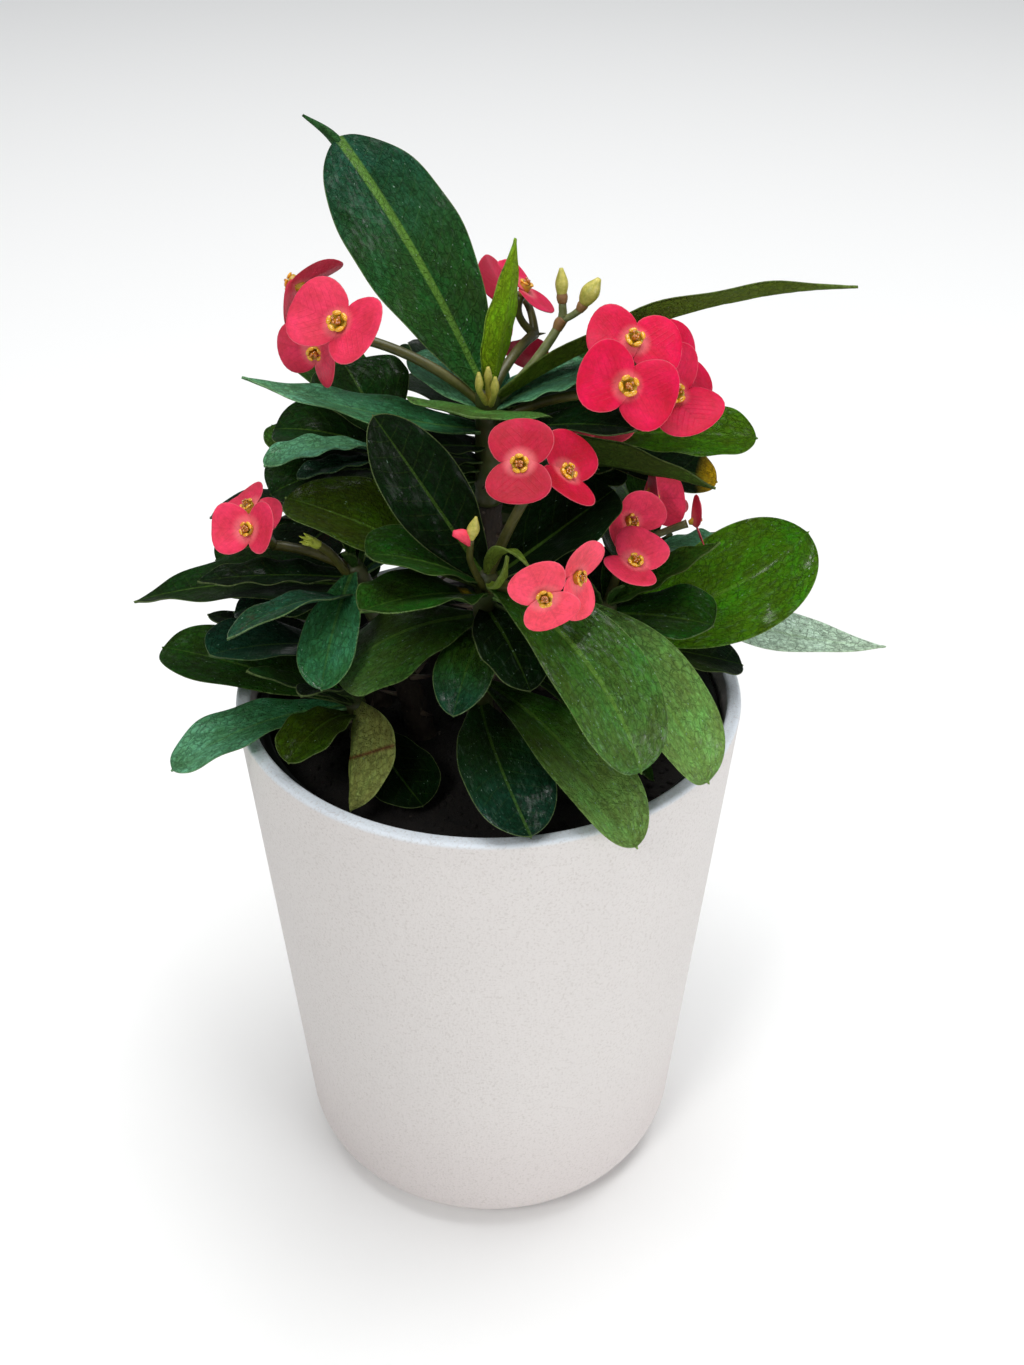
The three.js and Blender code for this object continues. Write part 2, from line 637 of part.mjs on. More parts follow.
const bloomsOf = (head) =>
  head.blooms.map(([x, y, z, azimuth, rise, spin, size, own = {}]) => {
    const facing = heading(azimuth, rise);
    const level = new THREE.Vector3(-facing.y, facing.x, 0).normalize();
    const up = facing.clone().cross(level);
    return { at: new THREE.Vector3(x, y, z), facing, level, up, spin, size, cup: CUPPED, skew: 0, ...own };
  });

// Where a bract's half width stands at share s of its length.
function bractShare(s) {
  if (s < 0.5) return BRACT.base + (1 - BRACT.base) * Math.sin(Math.PI * Math.max(s, 0));
  return Math.max(0, 1 - ((s - 0.5) / 0.5) ** 2.3) ** 0.5;
}

// One of a bloom's two bracts. Its outline runs round from one side of its base to the other.
function bractFrame(bloom, side) {
  const turn = (bloom.spin + 180 * side) * DEG;
  const out = bloom.level
    .clone()
    .multiplyScalar(Math.cos(turn))
    .addScaledVector(bloom.up, Math.sin(turn));
  const across = bloom.facing.clone().cross(out);
  const open = (bloom.cup + (side ? bloom.skew : -bloom.skew)) * DEG;
  const point = (s, v) => {
    const x = BRACT.length * bloom.size * s;
    const y = v * (BRACT.width / 2) * bloom.size * bractShare(s);
    const z = x * Math.sin(open) + BRACT.fold * Math.abs(y) + side * BRACT.lap;
    return bloom.at
      .clone()
      .addScaledVector(out, x * Math.cos(open))
      .addScaledVector(across, y)
      .addScaledVector(bloom.facing, z);
  };
  const normal = bloom.facing
    .clone()
    .multiplyScalar(Math.cos(open))
    .addScaledVector(out, -Math.sin(open));
  return { point, normal };
}

function bract(bloom, side) {
  const { point, normal } = bractFrame(bloom, side);
  const flank = [BRACT.start, 0.5, 0.85];
  const outline = [
    [BRACT.start, 0],
    ...flank.map((s) => [s, -1]),
    [1, 0],
    ...flank.toReversed().map((s) => [s, 1]),
  ];
  const corners = [];
  for (const [s, v] of outline) {
    for (const half of [BRACT.thickness / 2, -BRACT.thickness / 2]) {
      corners.push(point(s, v).addScaledVector(normal, half));
    }
  }
  const faces = [];
  const count = outline.length;
  for (let i = 1; i + 1 < count; i++) {
    faces.push(0, 2 * i, 2 * i + 2);
    faces.push(1, 2 * i + 3, 2 * i + 1);
  }
  for (let i = 0; i < count; i++) {
    const a = 2 * i;
    const b = (2 * i + 2) % (2 * count);
    faces.push(a, a + 1, b + 1, a, b + 1, b);
  }
  return body(corners, faces);
}

// Two bracts round the small cup that holds the true flowers.
function bloomBody(bloom) {
  const along = (distance) => bloom.at.clone().addScaledVector(bloom.facing, distance);
  const back = bloom.at.clone().addScaledVector(bloom.facing, -CUP.back);
  return spike(along(CUP.front), back, CUP.mouth, 6).add(bract(bloom, 0)).add(bract(bloom, 1));
}

// A head's stalk and its pedicels, which end just behind the cups.
function headRuns(head) {
  const blooms = bloomsOf(head);
  const middle = new THREE.Vector3();
  const facing = new THREE.Vector3();
  blooms.forEach((bloom) => {
    middle.addScaledVector(bloom.at, 1 / blooms.length);
    facing.add(bloom.facing);
  });
  facing.normalize();
  const fork = middle.addScaledVector(facing, -10).addScaledVector(UP, -3);
  const root = axisBelow(head.shoot, head.down);
  const top = axisBelow(head.shoot, 0).sub(axisBelow(head.shoot, 3)).normalize();
  const reach = fork.distanceTo(root);
  const bow = mix(root, fork, 0.45).addScaledVector(top, reach * 0.18);
  const steps = (count, at) => Array.from({ length: count + 1 }, (_, k) => at(k / count));
  const stalk = steps(4, (share) => curve(root, bow, fork, share));
  const pedicels = blooms.map((bloom) => {
    const behind = (distance) => bloom.at.clone().addScaledVector(bloom.facing, -distance);
    return steps(2, (share) => curve(fork, behind(8), behind(STALK.behind), share));
  });
  return { stalk, pedicels };
}

// ---------- thorns ----------

// Points spread over every leaf, bloom and stalk, which a thorn keeps clear of.
function standingPoints() {
  const points = [];
  for (const name of Object.keys(SHOOTS)) {
    for (const leaf of leavesOf(name)) {
      for (let i = 4; i <= 30; i++) {
        const rib = ribAt(leaf, i / 30);
        for (let j = -4; j <= 4; j++) points.push(leafPoint(leaf, rib, i / 30, j / 4));
      }
    }
  }
  for (const head of HEADS) {
    for (const bloom of bloomsOf(head)) {
      for (const side of [0, 1]) {
        const { point } = bractFrame(bloom, side);
        for (let i = 0; i <= 6; i++) {
          for (let j = -3; j <= 3; j++) points.push(point(i / 6, j / 3));
        }
      }
    }
    const { stalk, pedicels } = headRuns(head);
    for (const run of [stalk, ...pedicels]) {
      for (let i = 0; i + 1 < run.length; i++) {
        for (let k = 0; k < 4; k++) points.push(mix(run[i], run[i + 1], k / 4));
      }
    }
  }
  return points;
}
const STANDING = standingPoints();
const NAMES = Object.keys(SHOOTS);
const AXES = {};
for (const name of NAMES) AXES[name] = Array.from({ length: 21 }, (_, k) => axisAt(name, k / 20));

// The thorns of a stem, spiralling down it. Each is given by its foot on the axis, its tip and its number.
function thornPlaces(name) {
  const places = [];
  const height = shootLength(name);
  for (let k = 0; THORN.first + k * THORN.step < height - 6; k++) {
    const down = THORN.first + k * THORN.step;
    const seed = NAMES.indexOf(name) * 50 + k;
    const foot = axisBelow(name, down);
    const along = axisBelow(name, down - 1).sub(axisBelow(name, down + 1)).normalize();
    const out = heading(k * 137.5 + NAMES.indexOf(name) * 40, 0);
    out.addScaledVector(along, -out.dot(along)).normalize();
    const way = out
      .multiplyScalar(Math.cos(THORN.rise * DEG))
      .addScaledVector(along, Math.sin(THORN.rise * DEG));
    const reach = stemRadius(name, 1 - down / height);
    const length = THORN.shortest + (THORN.longest - THORN.shortest) * chance(seed);
    const tip = foot.clone().addScaledVector(way, reach + length);
    if (thornIsClear(name, mix(foot, tip, (reach + 2) / foot.distanceTo(tip)), tip)) {
      places.push({ down, foot, tip, wood: down > SHOOTS[name].crown + 2.5 });
    }
  }
  return places.filter(({ down }) => Math.abs(down - SHOOTS[name].crown) > 2.5);
}

function thornIsClear(name, low, tip) {
  if (tip.z < SOIL.top + 4 || Math.hypot(tip.x, tip.y) > 62) return false;
  for (let k = 0; k <= 6; k++) {
    const at = mix(low, tip, k / 6);
    if (STANDING.some((point) => point.distanceTo(at) < THORN.clear)) return false;
    for (const other of NAMES) {
      if (other !== name && AXES[other].some((point) => point.distanceTo(at) < 7)) return false;
    }
  }
  return true;
}

// A stem's three-sided thorns, either those on its wood or those on its crown.
function thorns(name, part) {
  return thornPlaces(name)
    .filter(({ wood }) => wood === (part === "wood"))
    .map(({ foot, tip, down }) => {
      const reach = stemRadius(name, 1 - down / shootLength(name));
      const start = mix(foot, tip, (reach - 1.2) / foot.distanceTo(tip));
      return spike(start, tip, THORN.radius, 3);
    });
}

// ---------- crowns ----------

// The green part of a shoot: its axis with the leaves, stalks, buds and thorns that grow from it.
function crown(name) {
  const run = axisRun(name, crownStart(name), 1, 2);
  const end = run.points[run.points.length - 1];
  const dome = end.clone().add(end.clone().sub(run.points[run.points.length - 2]).normalize());
  let made = tube([...run.points, dome], [...run.radii, run.radii[2] * 0.55], 6);
  for (const leaf of leavesOf(name)) made = made.add(leafBlade(leaf));
  for (const head of HEADS.filter(({ shoot }) => shoot === name)) {
    const { stalk, pedicels } = headRuns(head);
    const [first, ...others] = pedicels;
    const whole = [...stalk, ...first.slice(1)];
    const radii = whole.map((_, i) => Math.max(STALK.pedicel, STALK.radius - 0.05 * i));
    made = made.add(tube(whole, radii, 4));
    for (const path of others) made = made.add(tube(path, path.map(() => STALK.pedicel), 3));
  }
  for (const { path } of TWIGS.filter(({ shoot }) => shoot === name)) {
    const radii = path.map((point) => point[3]);
    made = made.add(tube(path.map(vector), radii, 4));
  }
  for (const thorn of thorns(name, "green")) made = made.add(thorn);
  return made;
}

// ---------- the object ----------

const plant = new THREE.Group();

function piece(name, made, look) {
  const [color, roughness] = COLOURS[look];
  const material = new THREE.MeshStandardMaterial({ color, roughness, metalness: 0 });
  const mesh = new THREE.Mesh(geometryOf(made), material);
  mesh.name = name;
  plant.add(mesh);
}

piece("cover_pot", coverPot(), "cover_pot");
piece("grow_pot", growPot(), "grow_pot");
piece("soil", soil(), "soil");
for (const name of NAMES) {
  piece("stem_" + name.toLowerCase(), stem(name), "stem");
  piece("crown_" + name.toLowerCase(), crown(name), "crown");
}
let count = 0;
for (const head of HEADS) {
  for (const bloom of bloomsOf(head)) {
    count += 1;
    piece("bloom_" + String(count).padStart(2, "0"), bloomBody(bloom), "bloom");
  }
}

export default plant;
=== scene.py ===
# %% [markdown]
# # A crown of thorns in a white pot
#
# This plant is a thorny, half-woody spurge. Its stems are dark and spiny, its spoon-shaped leaves sit in
# loose crowns at the tips, and what look like petals are pairs of bracts round a small waxy cup.
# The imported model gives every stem, leaf and bloom its place. This script grows the fine version of each
# one in the same place, from the same few rules, and gives every surface a finish made of nodes.

import math

import bpy
import numpy as np
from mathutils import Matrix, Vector


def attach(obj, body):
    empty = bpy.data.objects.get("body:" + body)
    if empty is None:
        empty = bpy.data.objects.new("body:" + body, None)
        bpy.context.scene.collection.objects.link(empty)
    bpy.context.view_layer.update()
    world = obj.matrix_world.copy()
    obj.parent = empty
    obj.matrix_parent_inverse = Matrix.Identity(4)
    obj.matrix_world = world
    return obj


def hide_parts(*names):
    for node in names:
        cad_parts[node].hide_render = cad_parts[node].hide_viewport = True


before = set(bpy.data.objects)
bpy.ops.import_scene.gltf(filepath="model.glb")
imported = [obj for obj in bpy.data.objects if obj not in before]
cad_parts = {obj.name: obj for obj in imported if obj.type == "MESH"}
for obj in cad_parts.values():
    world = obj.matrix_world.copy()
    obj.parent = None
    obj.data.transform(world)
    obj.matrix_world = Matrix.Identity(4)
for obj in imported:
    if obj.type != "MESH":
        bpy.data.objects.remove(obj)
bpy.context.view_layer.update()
MM = 0.001
print("nodes in the packed model:", len(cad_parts))

# %% [markdown]
# ## The camera
#
# A camera is only a place, a direction and a lens. It comes first, because every later choice of detail
# depends on what it sees: here it looks down on the plant from the front, at about 35 degrees.

# %% Place the camera
IMAGE_HEIGHT = 1365  # pixels
FOCAL_PIXELS = 1600
SENSOR = 36  # millimetres, along the longer side of the image
AIM = Vector((5.68, 0, 176)) * MM
CAMERA_DISTANCE = 0.4778
CAMERA_RISE = math.radians(34.8)
CAMERA_ROLL = math.radians(-0.25)

camera_data = bpy.data.cameras.new("camera")
camera_data.sensor_width = SENSOR
camera_data.lens = SENSOR * FOCAL_PIXELS / IMAGE_HEIGHT
camera_data.clip_start = 0.01
camera = bpy.data.objects.new("camera", camera_data)
bpy.context.scene.collection.objects.link(camera)
back = Vector((0, -math.cos(CAMERA_RISE), math.sin(CAMERA_RISE)))
camera.location = AIM + CAMERA_DISTANCE * back
camera.rotation_euler = (math.pi / 2 - CAMERA_RISE, CAMERA_ROLL, 0)
bpy.context.scene.camera = camera
print("camera at", [round(x, 3) for x in camera.location])

# %% [markdown]
# ## Small tools for curved things
#
# Plants are made of tubes and sheets. NumPy works out whole rows of points at once, which keeps a
# hundred leaves quick. Everything is typed in millimetres and turned into metres when a mesh is made.

# %% Directions, curves and a steady kind of chance
def chance(i):
    """The same number from 0 to 1 each time, for each whole number."""
    s = math.sin(i * 12.9898) * 43758.5453
    return s - math.floor(s)


def heading(azimuth, rise):
    """A unit vector at this azimuth (from +X towards +Y) and rise, both in degrees."""
    a, r = np.radians(azimuth), np.radians(rise)
    return np.stack([np.cos(r) * np.cos(a), np.cos(r) * np.sin(a), np.sin(r) + 0 * a], -1)


def unit(v):
    return v / np.linalg.norm(v, axis=-1, keepdims=True)


def curve(a, b, c, share):
    """A point on the quadratic curve from a to c that leans towards b."""
    s = np.asarray(share, float)[..., None]
    return (a + (b - a) * s) * (1 - s) + (b + (c - b) * s) * s


# %% [markdown]
# ## A lump of clay
#
# One leafy shoot is a single piece made of dozens of sheets and tubes. They could be objects that are
# joined later, but that is slow. `Clay` collects them as plain lists and makes one mesh at the end. Each
# point also carries three notes that the materials read: where it lies on its leaf (`place`), its colour
# (`tone`), which on some leaves holds painted sheen and shade, and some masks (`marks`).

# %% Clay: collects points, faces and notes, and makes the mesh
class Clay:
    def __init__(self, *finishes):
        self.finishes = finishes
        self.points, self.faces, self.kinds = [], [], []
        self.place, self.tone, self.marks = [], [], []
        self.count = 0

    def add(self, points, faces, finish, place=None, tone=(0.5, 0.5, 0.5), marks=(0, 0, 0)):
        n = len(points)
        self.points.append(points)
        self.faces += [tuple(i + self.count for i in face) for face in faces]
        self.kinds += [self.finishes.index(finish)] * len(faces)
        self.place.append(points if place is None else place)
        tone = np.broadcast_to(tone, (n, 3))
        self.tone.append(np.concatenate([tone, np.ones((n, 1))], -1))
        self.marks.append(np.broadcast_to(marks, (n, 3)))
        self.count += n

    def make(self, name, node):
        mesh = bpy.data.meshes.new(name)
        mesh.from_pydata(np.concatenate(self.points) * MM, [], self.faces)
        for finish in self.finishes:
            mesh.materials.append(FINISHES[finish])
        mesh.polygons.foreach_set("material_index", self.kinds)
        mesh.polygons.foreach_set("use_smooth", [True] * len(self.faces))
        for label, kind, rows in (
            ("place", "FLOAT_VECTOR", self.place),
            ("marks", "FLOAT_VECTOR", self.marks),
            ("tone", "FLOAT_COLOR", self.tone),
        ):
            attribute = mesh.attributes.new(label, kind, "POINT")
            key = "color" if kind == "FLOAT_COLOR" else "vector"
            attribute.data.foreach_set(key, np.concatenate(rows).astype(np.float32).ravel())
        mesh.validate()
        piece = bpy.data.objects.new(name, mesh)
        bpy.context.scene.collection.objects.link(piece)
        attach(piece, "root")
        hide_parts(node)
        return piece


# %% Sheets and tubes
def grid_faces(rows, columns, start=0, closed=False, flip=False):
    """Quads between rows of points. A closed grid joins its last column to its first."""
    faces = []
    for i in range(rows - 1):
        for j in range(columns if closed else columns - 1):
            a, b = start + i * columns + j, start + i * columns + (j + 1) % columns
            quad = (a, b, b + columns, a + columns)
            faces.append(quad[::-1] if flip else quad)
    return faces


def closed_faces(rows, sides, flip=False):
    """The faces of a closed tube with its two ends."""
    ends = range(sides)[::-1], range((rows - 1) * sides, rows * sides)
    ends = [tuple(end[::-1] if flip else end) for end in ends]
    return grid_faces(rows, sides, closed=True, flip=flip) + ends


def around(sides):
    """Angles spread evenly round a full turn."""
    return np.arange(sides) * 2 * np.pi / sides


def listed(*grids):
    """The points of several grids in one list."""
    return np.concatenate([grid.reshape(-1, 3) for grid in grids])


def ring_frames(points):
    """Two directions across a path at each of its points, which don't twist along it."""
    along = unit(np.gradient(points, axis=0))
    side = np.array([1.0, 0, 0]) if abs(along[0][0]) < 0.9 else np.array([0, 1.0, 0])
    sides = []
    for step in along:
        side = unit(side - side.dot(step) * step)
        sides.append(side)
    sides = np.array(sides)
    return sides, np.cross(along, sides)


def tube(clay, points, radii, finish, sides=10, swell=None, **notes):
    """A round, closed tube along points. swell, if given, changes the radius at each point and side."""
    points = np.asarray(points, float)
    radii = np.broadcast_to(np.asarray(radii, float), len(points))[:, None]
    turn = around(sides)
    across, over = ring_frames(points)
    reach = radii * (1 if swell is None else swell)
    skin = points[:, None] + (reach * np.cos(turn))[..., None] * across[:, None]
    skin = skin + (reach * np.sin(turn))[..., None] * over[:, None]
    clay.add(listed(skin), closed_faces(len(points), sides), finish, **notes)


# %% [markdown]
# ## Colour
#
# Screens show colours with a curve that a renderer must undo first. `paint` takes the numbers a picture
# editor shows, 0 to 255, and gives the linear ones that light is reckoned in.

# %% Paint and the greens of the leaves
def paint(red, green, blue):
    c = np.array([red, green, blue]) / 255
    return tuple(float(x) for x in np.where(c <= 0.04045, c / 12.92, ((c + 0.055) / 1.055) ** 2.4))


TONES = {
    "deep": paint(26, 56, 12),
    "dark": paint(14, 36, 8),
    "mid": paint(38, 78, 14),
    "fern": paint(42, 88, 34),
    "leek": paint(58, 98, 24),
    "jade": paint(88, 134, 58),
    "light": paint(128, 170, 84),
    "bright": paint(150, 196, 10),
    "lime": paint(134, 160, 54),
    "blue": paint(30, 78, 50),
    "marine": paint(20, 60, 40),
    "grey": paint(62, 100, 76),
    "sea": paint(58, 126, 74),
    "mint": paint(110, 182, 134),
    # painted sheen: this near-white green is partly the sheen of the long pale leaf
    "pale": paint(206, 236, 206),
    "olive": paint(54, 76, 2),
    "moss": paint(88, 112, 4),
    "khaki": paint(152, 160, 84),
    "fresh": paint(76, 126, 10),
    "stem": paint(48, 98, 50),
    "yellow": paint(226, 186, 24),
    "rust": paint(118, 66, 44),
}
print("leaf greens:", len(TONES))

# %% [markdown]
# ## Node groups
#
# Veins, mottling, specks and grain turn up on several materials. Each is a node group with named inputs,
# built once and then placed in a material with that material's own values.

# %% A short way to wire nodes
class Wires:
    """Adds nodes to a tree. A value that is a socket is linked, and any other value is set."""

    def __init__(self, tree):
        self.tree = tree

    def feed(self, node, values):
        for key, value in values.items():
            if isinstance(value, bpy.types.NodeSocket):
                self.tree.links.new(value, node.inputs[key])
            else:
                node.inputs[key].default_value = value

    def node(self, kind, values=None, **settings):
        """Makes a node and gives its outputs."""
        made = self.tree.nodes.new("ShaderNode" + kind)
        for key, value in settings.items():
            setattr(made, key, value)
        self.feed(made, values or {})
        return made.outputs

    def math(self, operation, a, b=0.0, c=0.0, clamp=False):
        return self.node("Math", {0: a, 1: b, 2: c}, operation=operation, use_clamp=clamp)[0]

    def times(self, a, b, clamp=False):
        return self.math("MULTIPLY", a, b, clamp=clamp)

    def line(self, value, gain, start, clamp=False):
        """start plus gain times value."""
        return self.math("MULTIPLY_ADD", value, gain, start, clamp)

    def fade(self, value, low, high, start=0.0, end=1.0):
        """start where value is low or less, end where it is high or more, and smooth between."""
        values = {"Value": value, "From Min": low, "From Max": high, "To Min": start, "To Max": end}
        return self.node("MapRange", values, interpolation_type="SMOOTHSTEP")[0]

    def dot(self, distance, full, none):
        """1 where distance is full or less, and 0 from none on."""
        return self.fade(distance, full, none, 1.0, 0.0)

    def mix(self, share, a, b):
        rgba = [s if isinstance(s, bpy.types.NodeSocket) else (*s, 1.0) for s in (a, b)]
        return self.node("Mix", {0: share, 6: rgba[0], 7: rgba[1]}, data_type="RGBA")[2]

    def noise(self, place, scale, detail=2.0, roughness=0.5):
        values = {"Vector": place, "Scale": scale, "Detail": detail, "Roughness": roughness}
        return self.node("TexNoise", values)

    def stretched(self, place, scale):
        return self.node("Mapping", {"Vector": place, "Scale": scale})[0]

    def pushed(self, place, way, gain):
        """A place moved by a vector times gain."""
        step = self.node("VectorMath", {0: way, "Scale": gain}, operation="SCALE")[0]
        return self.node("VectorMath", {0: place, 1: step}, operation="ADD")[0]

    def parts(self, vector):
        return self.node("SeparateXYZ", {0: vector})

    def note(self, name, output="Vector"):
        return self.node("Attribute", attribute_name=name)[output]


def new_group(name, inputs, outputs, kind="Float"):
    """A node group. An input is given by its first value, or by its kind where it has none."""
    tree = bpy.data.node_groups.new(name, "ShaderNodeTree")
    for label, value in inputs.items():
        sort = value if isinstance(value, str) else "Float"
        socket = tree.interface.new_socket(label, in_out="INPUT", socket_type="NodeSocket" + sort)
        if sort == "Float":
            socket.default_value = value
    for label in outputs:
        tree.interface.new_socket(label, in_out="OUTPUT", socket_type="NodeSocket" + kind)
    return Wires(tree), tree.nodes.new("NodeGroupInput").outputs, tree.nodes.new("NodeGroupOutput")


# %% [markdown]
# ### Veins
#
# A leaf's vein pattern follows the leaf, not the world. So it is worked out from `place`: how far a point
# is along the midrib, how far it is to one side, and how far from the edge, all in millimetres. Side
# veins leave the midrib at a slant, curve towards the tip and stop short of the edge.

# %% Group: veins
wires, given, result = new_group(
    "veins",
    {
        "Place": "Vector",
        "Rib Width": 0.8,
        "Spacing": 4.5,
        "Slant": 0.6,
        "Vein Width": 0.3,
        "Rim Width": 0.35,
    },
    ("Rib", "Veins", "Net", "Rim"),
)
along, across, edge = wires.parts(given["Place"])
aside = wires.math("ABSOLUTE", across)
rib = wires.dot(aside, wires.times(given["Rib Width"], 0.55), given["Rib Width"])

# the side veins are a wave along the leaf, swept forwards the further they are from the midrib
curled = wires.times(aside, wires.times(aside, 0.02))
swept = wires.line(aside, given["Slant"], curled)
phase = wires.math("DIVIDE", wires.math("SUBTRACT", along, swept), given["Spacing"])
phase = wires.line(wires.noise(given["Place"], scale=0.12)["Fac"], 0.5, phase)
wave = wires.math("ABSOLUTE", wires.math("SUBTRACT", wires.math("FRACT", phase), 0.5))
line_width = wires.math("DIVIDE", given["Vein Width"], given["Spacing"])
veins = wires.times(wires.dot(wave, 0.0, wires.times(line_width, 2.0)), wires.fade(edge, 0.6, 3.5))

# the finest veins are the borders of small bent cells
crinkle = wires.noise(given["Place"], scale=0.7, detail=3.0)["Color"]
crinkled = wires.pushed(given["Place"], crinkle, 3.2)
cells = wires.node("TexVoronoi", {"Vector": crinkled, "Scale": 0.4}, feature="DISTANCE_TO_EDGE")
net = wires.dot(cells["Distance"], 0.0, 0.12)
rim = wires.dot(edge, wires.times(given["Rim Width"], 0.4), given["Rim Width"])
wires.feed(result, {"Rib": rib, "Veins": veins, "Net": net, "Rim": rim})

# %% Group: mottle, which drifts a colour lighter and darker in soft patches
wires, given, result = new_group(
    "mottle",
    {"Vector": "Vector", "Color": "Color", "Scale": 0.1, "Strength": 0.3, "Turn": 0.12},
    ("Color",),
    "Color",
)
patches = wires.noise(given["Vector"], given["Scale"], detail=4.0, roughness=0.6)["Fac"]
shift = wires.times(wires.math("SUBTRACT", patches, 0.5), given["Strength"])
drift = {"Hue": wires.line(shift, given["Turn"], 0.5), "Value": wires.line(shift, 2.4, 1.0)}
wires.feed(result, {"Color": wires.node("HueSaturation", {**drift, "Color": given["Color"]})["Color"]})

# %% [markdown]
# ### Specks and grain
#
# Hard water dries on leaves as small white specks, short dashes and a thin film; on the leaves that film
# is partly painted sheen as well. Specks are the few cells of a Voronoi pattern that a random number picks
# out, each with a size of its own, and a little noise bends them out of round. Grain is the fine
# unevenness that breaks up a highlight.

# %% Groups: specks and grain
wires, given, result = new_group(
    "specks",
    {"Vector": "Vector", "Scale": 0.8, "Amount": 0.2, "Size": 0.3, "Bend": 0.4},
    ("Mask",),
)
wobble = wires.noise(given["Vector"], wires.times(given["Scale"], 3.0))["Color"]
bent = wires.node("VectorMath", {0: wobble, 1: (0.5, 0.5, 0.5)}, operation="SUBTRACT")[0]
spread = wires.pushed(given["Vector"], bent, wires.math("DIVIDE", given["Bend"], given["Scale"]))
cells = wires.node("TexVoronoi", {"Vector": spread, "Scale": given["Scale"]})
lots = wires.node("SeparateColor", {0: cells["Color"]})
picked = wires.math("LESS_THAN", lots[0], given["Amount"])
size = wires.times(given["Size"], wires.line(lots[1], 0.9, 0.25))
dots = wires.dot(cells["Distance"], wires.times(size, 0.4), size)
wires.feed(result, {"Mask": wires.times(dots, picked)})

wires, given, result = new_group("grain", {"Vector": "Vector", "Scale": 1.0, "Contrast": 1.0}, ("Height",))
fine = wires.noise(given["Vector"], given["Scale"], detail=6.0, roughness=0.65)["Fac"]
wires.feed(result, {"Height": wires.times(wires.math("SUBTRACT", fine, 0.5), given["Contrast"])})
print("node groups:", [g.name for g in bpy.data.node_groups])

# %% Start a material
FINISHES = {}


class Finish(Wires):
    """A material with its Principled shader, which can place each node group with its own values."""

    def __init__(self, name):
        material = bpy.data.materials.new(name)
        material.use_nodes = True
        super().__init__(material.node_tree)
        self.shader = material.node_tree.nodes["Principled BSDF"]
        FINISHES[name] = material

    def group(self, label, values):
        return self.node("Group", values, node_tree=bpy.data.node_groups[label])

    def mottle(self, place, color, scale, strength, turn=0.12):
        values = {"Vector": place, "Color": color, "Scale": scale, "Strength": strength, "Turn": turn}
        return self.group("mottle", values)["Color"]

    def specks(self, place, scale, amount, size, bend=0.4):
        values = {"Vector": place, "Scale": scale, "Amount": amount, "Size": size, "Bend": bend}
        return self.group("specks", values)["Mask"]

    def grain(self, place, scale, contrast=1.0):
        return self.group("grain", {"Vector": place, "Scale": scale, "Contrast": contrast})["Height"]

    def set(self, color, roughness, **values):
        """Feeds the shader. Words joined by _ name a socket, as in coat_weight."""
        named = {key.replace("_", " ").title().replace("Ior", "IOR"): values[key] for key in values}
        self.feed(self.shader, {"Base Color": color, "Roughness": roughness, **named})

    def bump(self, height, depth, strength):
        """Lets a height, in units of depth metres, bend the light on the surface."""
        made = self.node("Bump", {"Height": height, "Distance": depth, "Strength": strength})
        self.feed(self.shader, {"Normal": made["Normal"]})


# %% [markdown]
# ## The leaf's finish
#
# A crown of thorns leaf has a waxy face, a pale midrib, side veins that hardly show, and a thin pale
# margin. The underside is paler and dull. One material serves every leaf: the leaf's green arrives
# in `tone`, on some leaves with painted sheen and shade towards the tip, and `marks` says which side a
# point is on, how much chalk and painted sheen it carries and how wide its rib is there.

# %% Material: leaf, its greens
VEIN_SPACING = 4.8  # millimetres along the midrib
skin = Finish("leaf")
place, tone = skin.note("place"), skin.note("tone", "Color")
under, chalk_and_sheen, rib_width = skin.parts(skin.note("marks"))
face = skin.math("SUBTRACT", 1.0, under)
slanted = skin.stretched(place, (0.45, 1.2, 1.0))
veined = {"Place": place, "Rib Width": rib_width, "Spacing": VEIN_SPACING, "Vein Width": 0.2}
pattern = skin.group("veins", veined)
# the leaf's own mottling in soft patches; its lighter patches also turn bluer, as painted sheen
color = skin.mottle(place, tone, scale=0.07, strength=0.7, turn=0.18)
# painted light and shade of fine wrinkles: slanted streaks a little lighter and darker
color = skin.mottle(slanted, color, scale=0.7, strength=0.65, turn=0.08)
crease_shade_patches = skin.fade(skin.grain(place, scale=0.16), -0.08, 0.12)
for share, strength, toward in (
    (skin.times(pattern["Veins"], 0.14), 0.35, paint(132, 168, 72)),
    # painted shade: the fine net of wrinkles darkened in patches, as shade in its creases
    (skin.times(skin.times(pattern["Net"], 0.6), crease_shade_patches), 0.55, paint(6, 22, 4)),
    (skin.times(pattern["Rib"], skin.times(rib_width, 0.8, clamp=True)), 0.6, paint(124, 172, 66)),
    (skin.times(pattern["Rim"], 0.6), 0.5, paint(168, 192, 120)),
    (skin.times(under, 0.4), 0.35, paint(104, 124, 76)),
):
    color = skin.mix(share, color, skin.mix(strength, tone, toward))

# %% Material: leaf, hard water, painted sheen and wax
dashes = skin.stretched(place, (0.65, 1.0, 1.0))
dots = skin.specks(dashes, scale=1.3, amount=skin.times(chalk_and_sheen, 0.28), size=0.3, bend=0.8)
streaks = skin.noise(slanted, scale=0.6, detail=6.0, roughness=0.75)["Fac"]
# this thin bluish-white film is partly dried hard water and partly painted sheen
film_and_sheen = skin.times(skin.fade(streaks, 0.52, 0.74), skin.times(chalk_and_sheen, 0.5))
white = skin.times(skin.line(dots, 0.8, film_and_sheen, clamp=True), face)
color = skin.mix(white, color, paint(158, 190, 168))

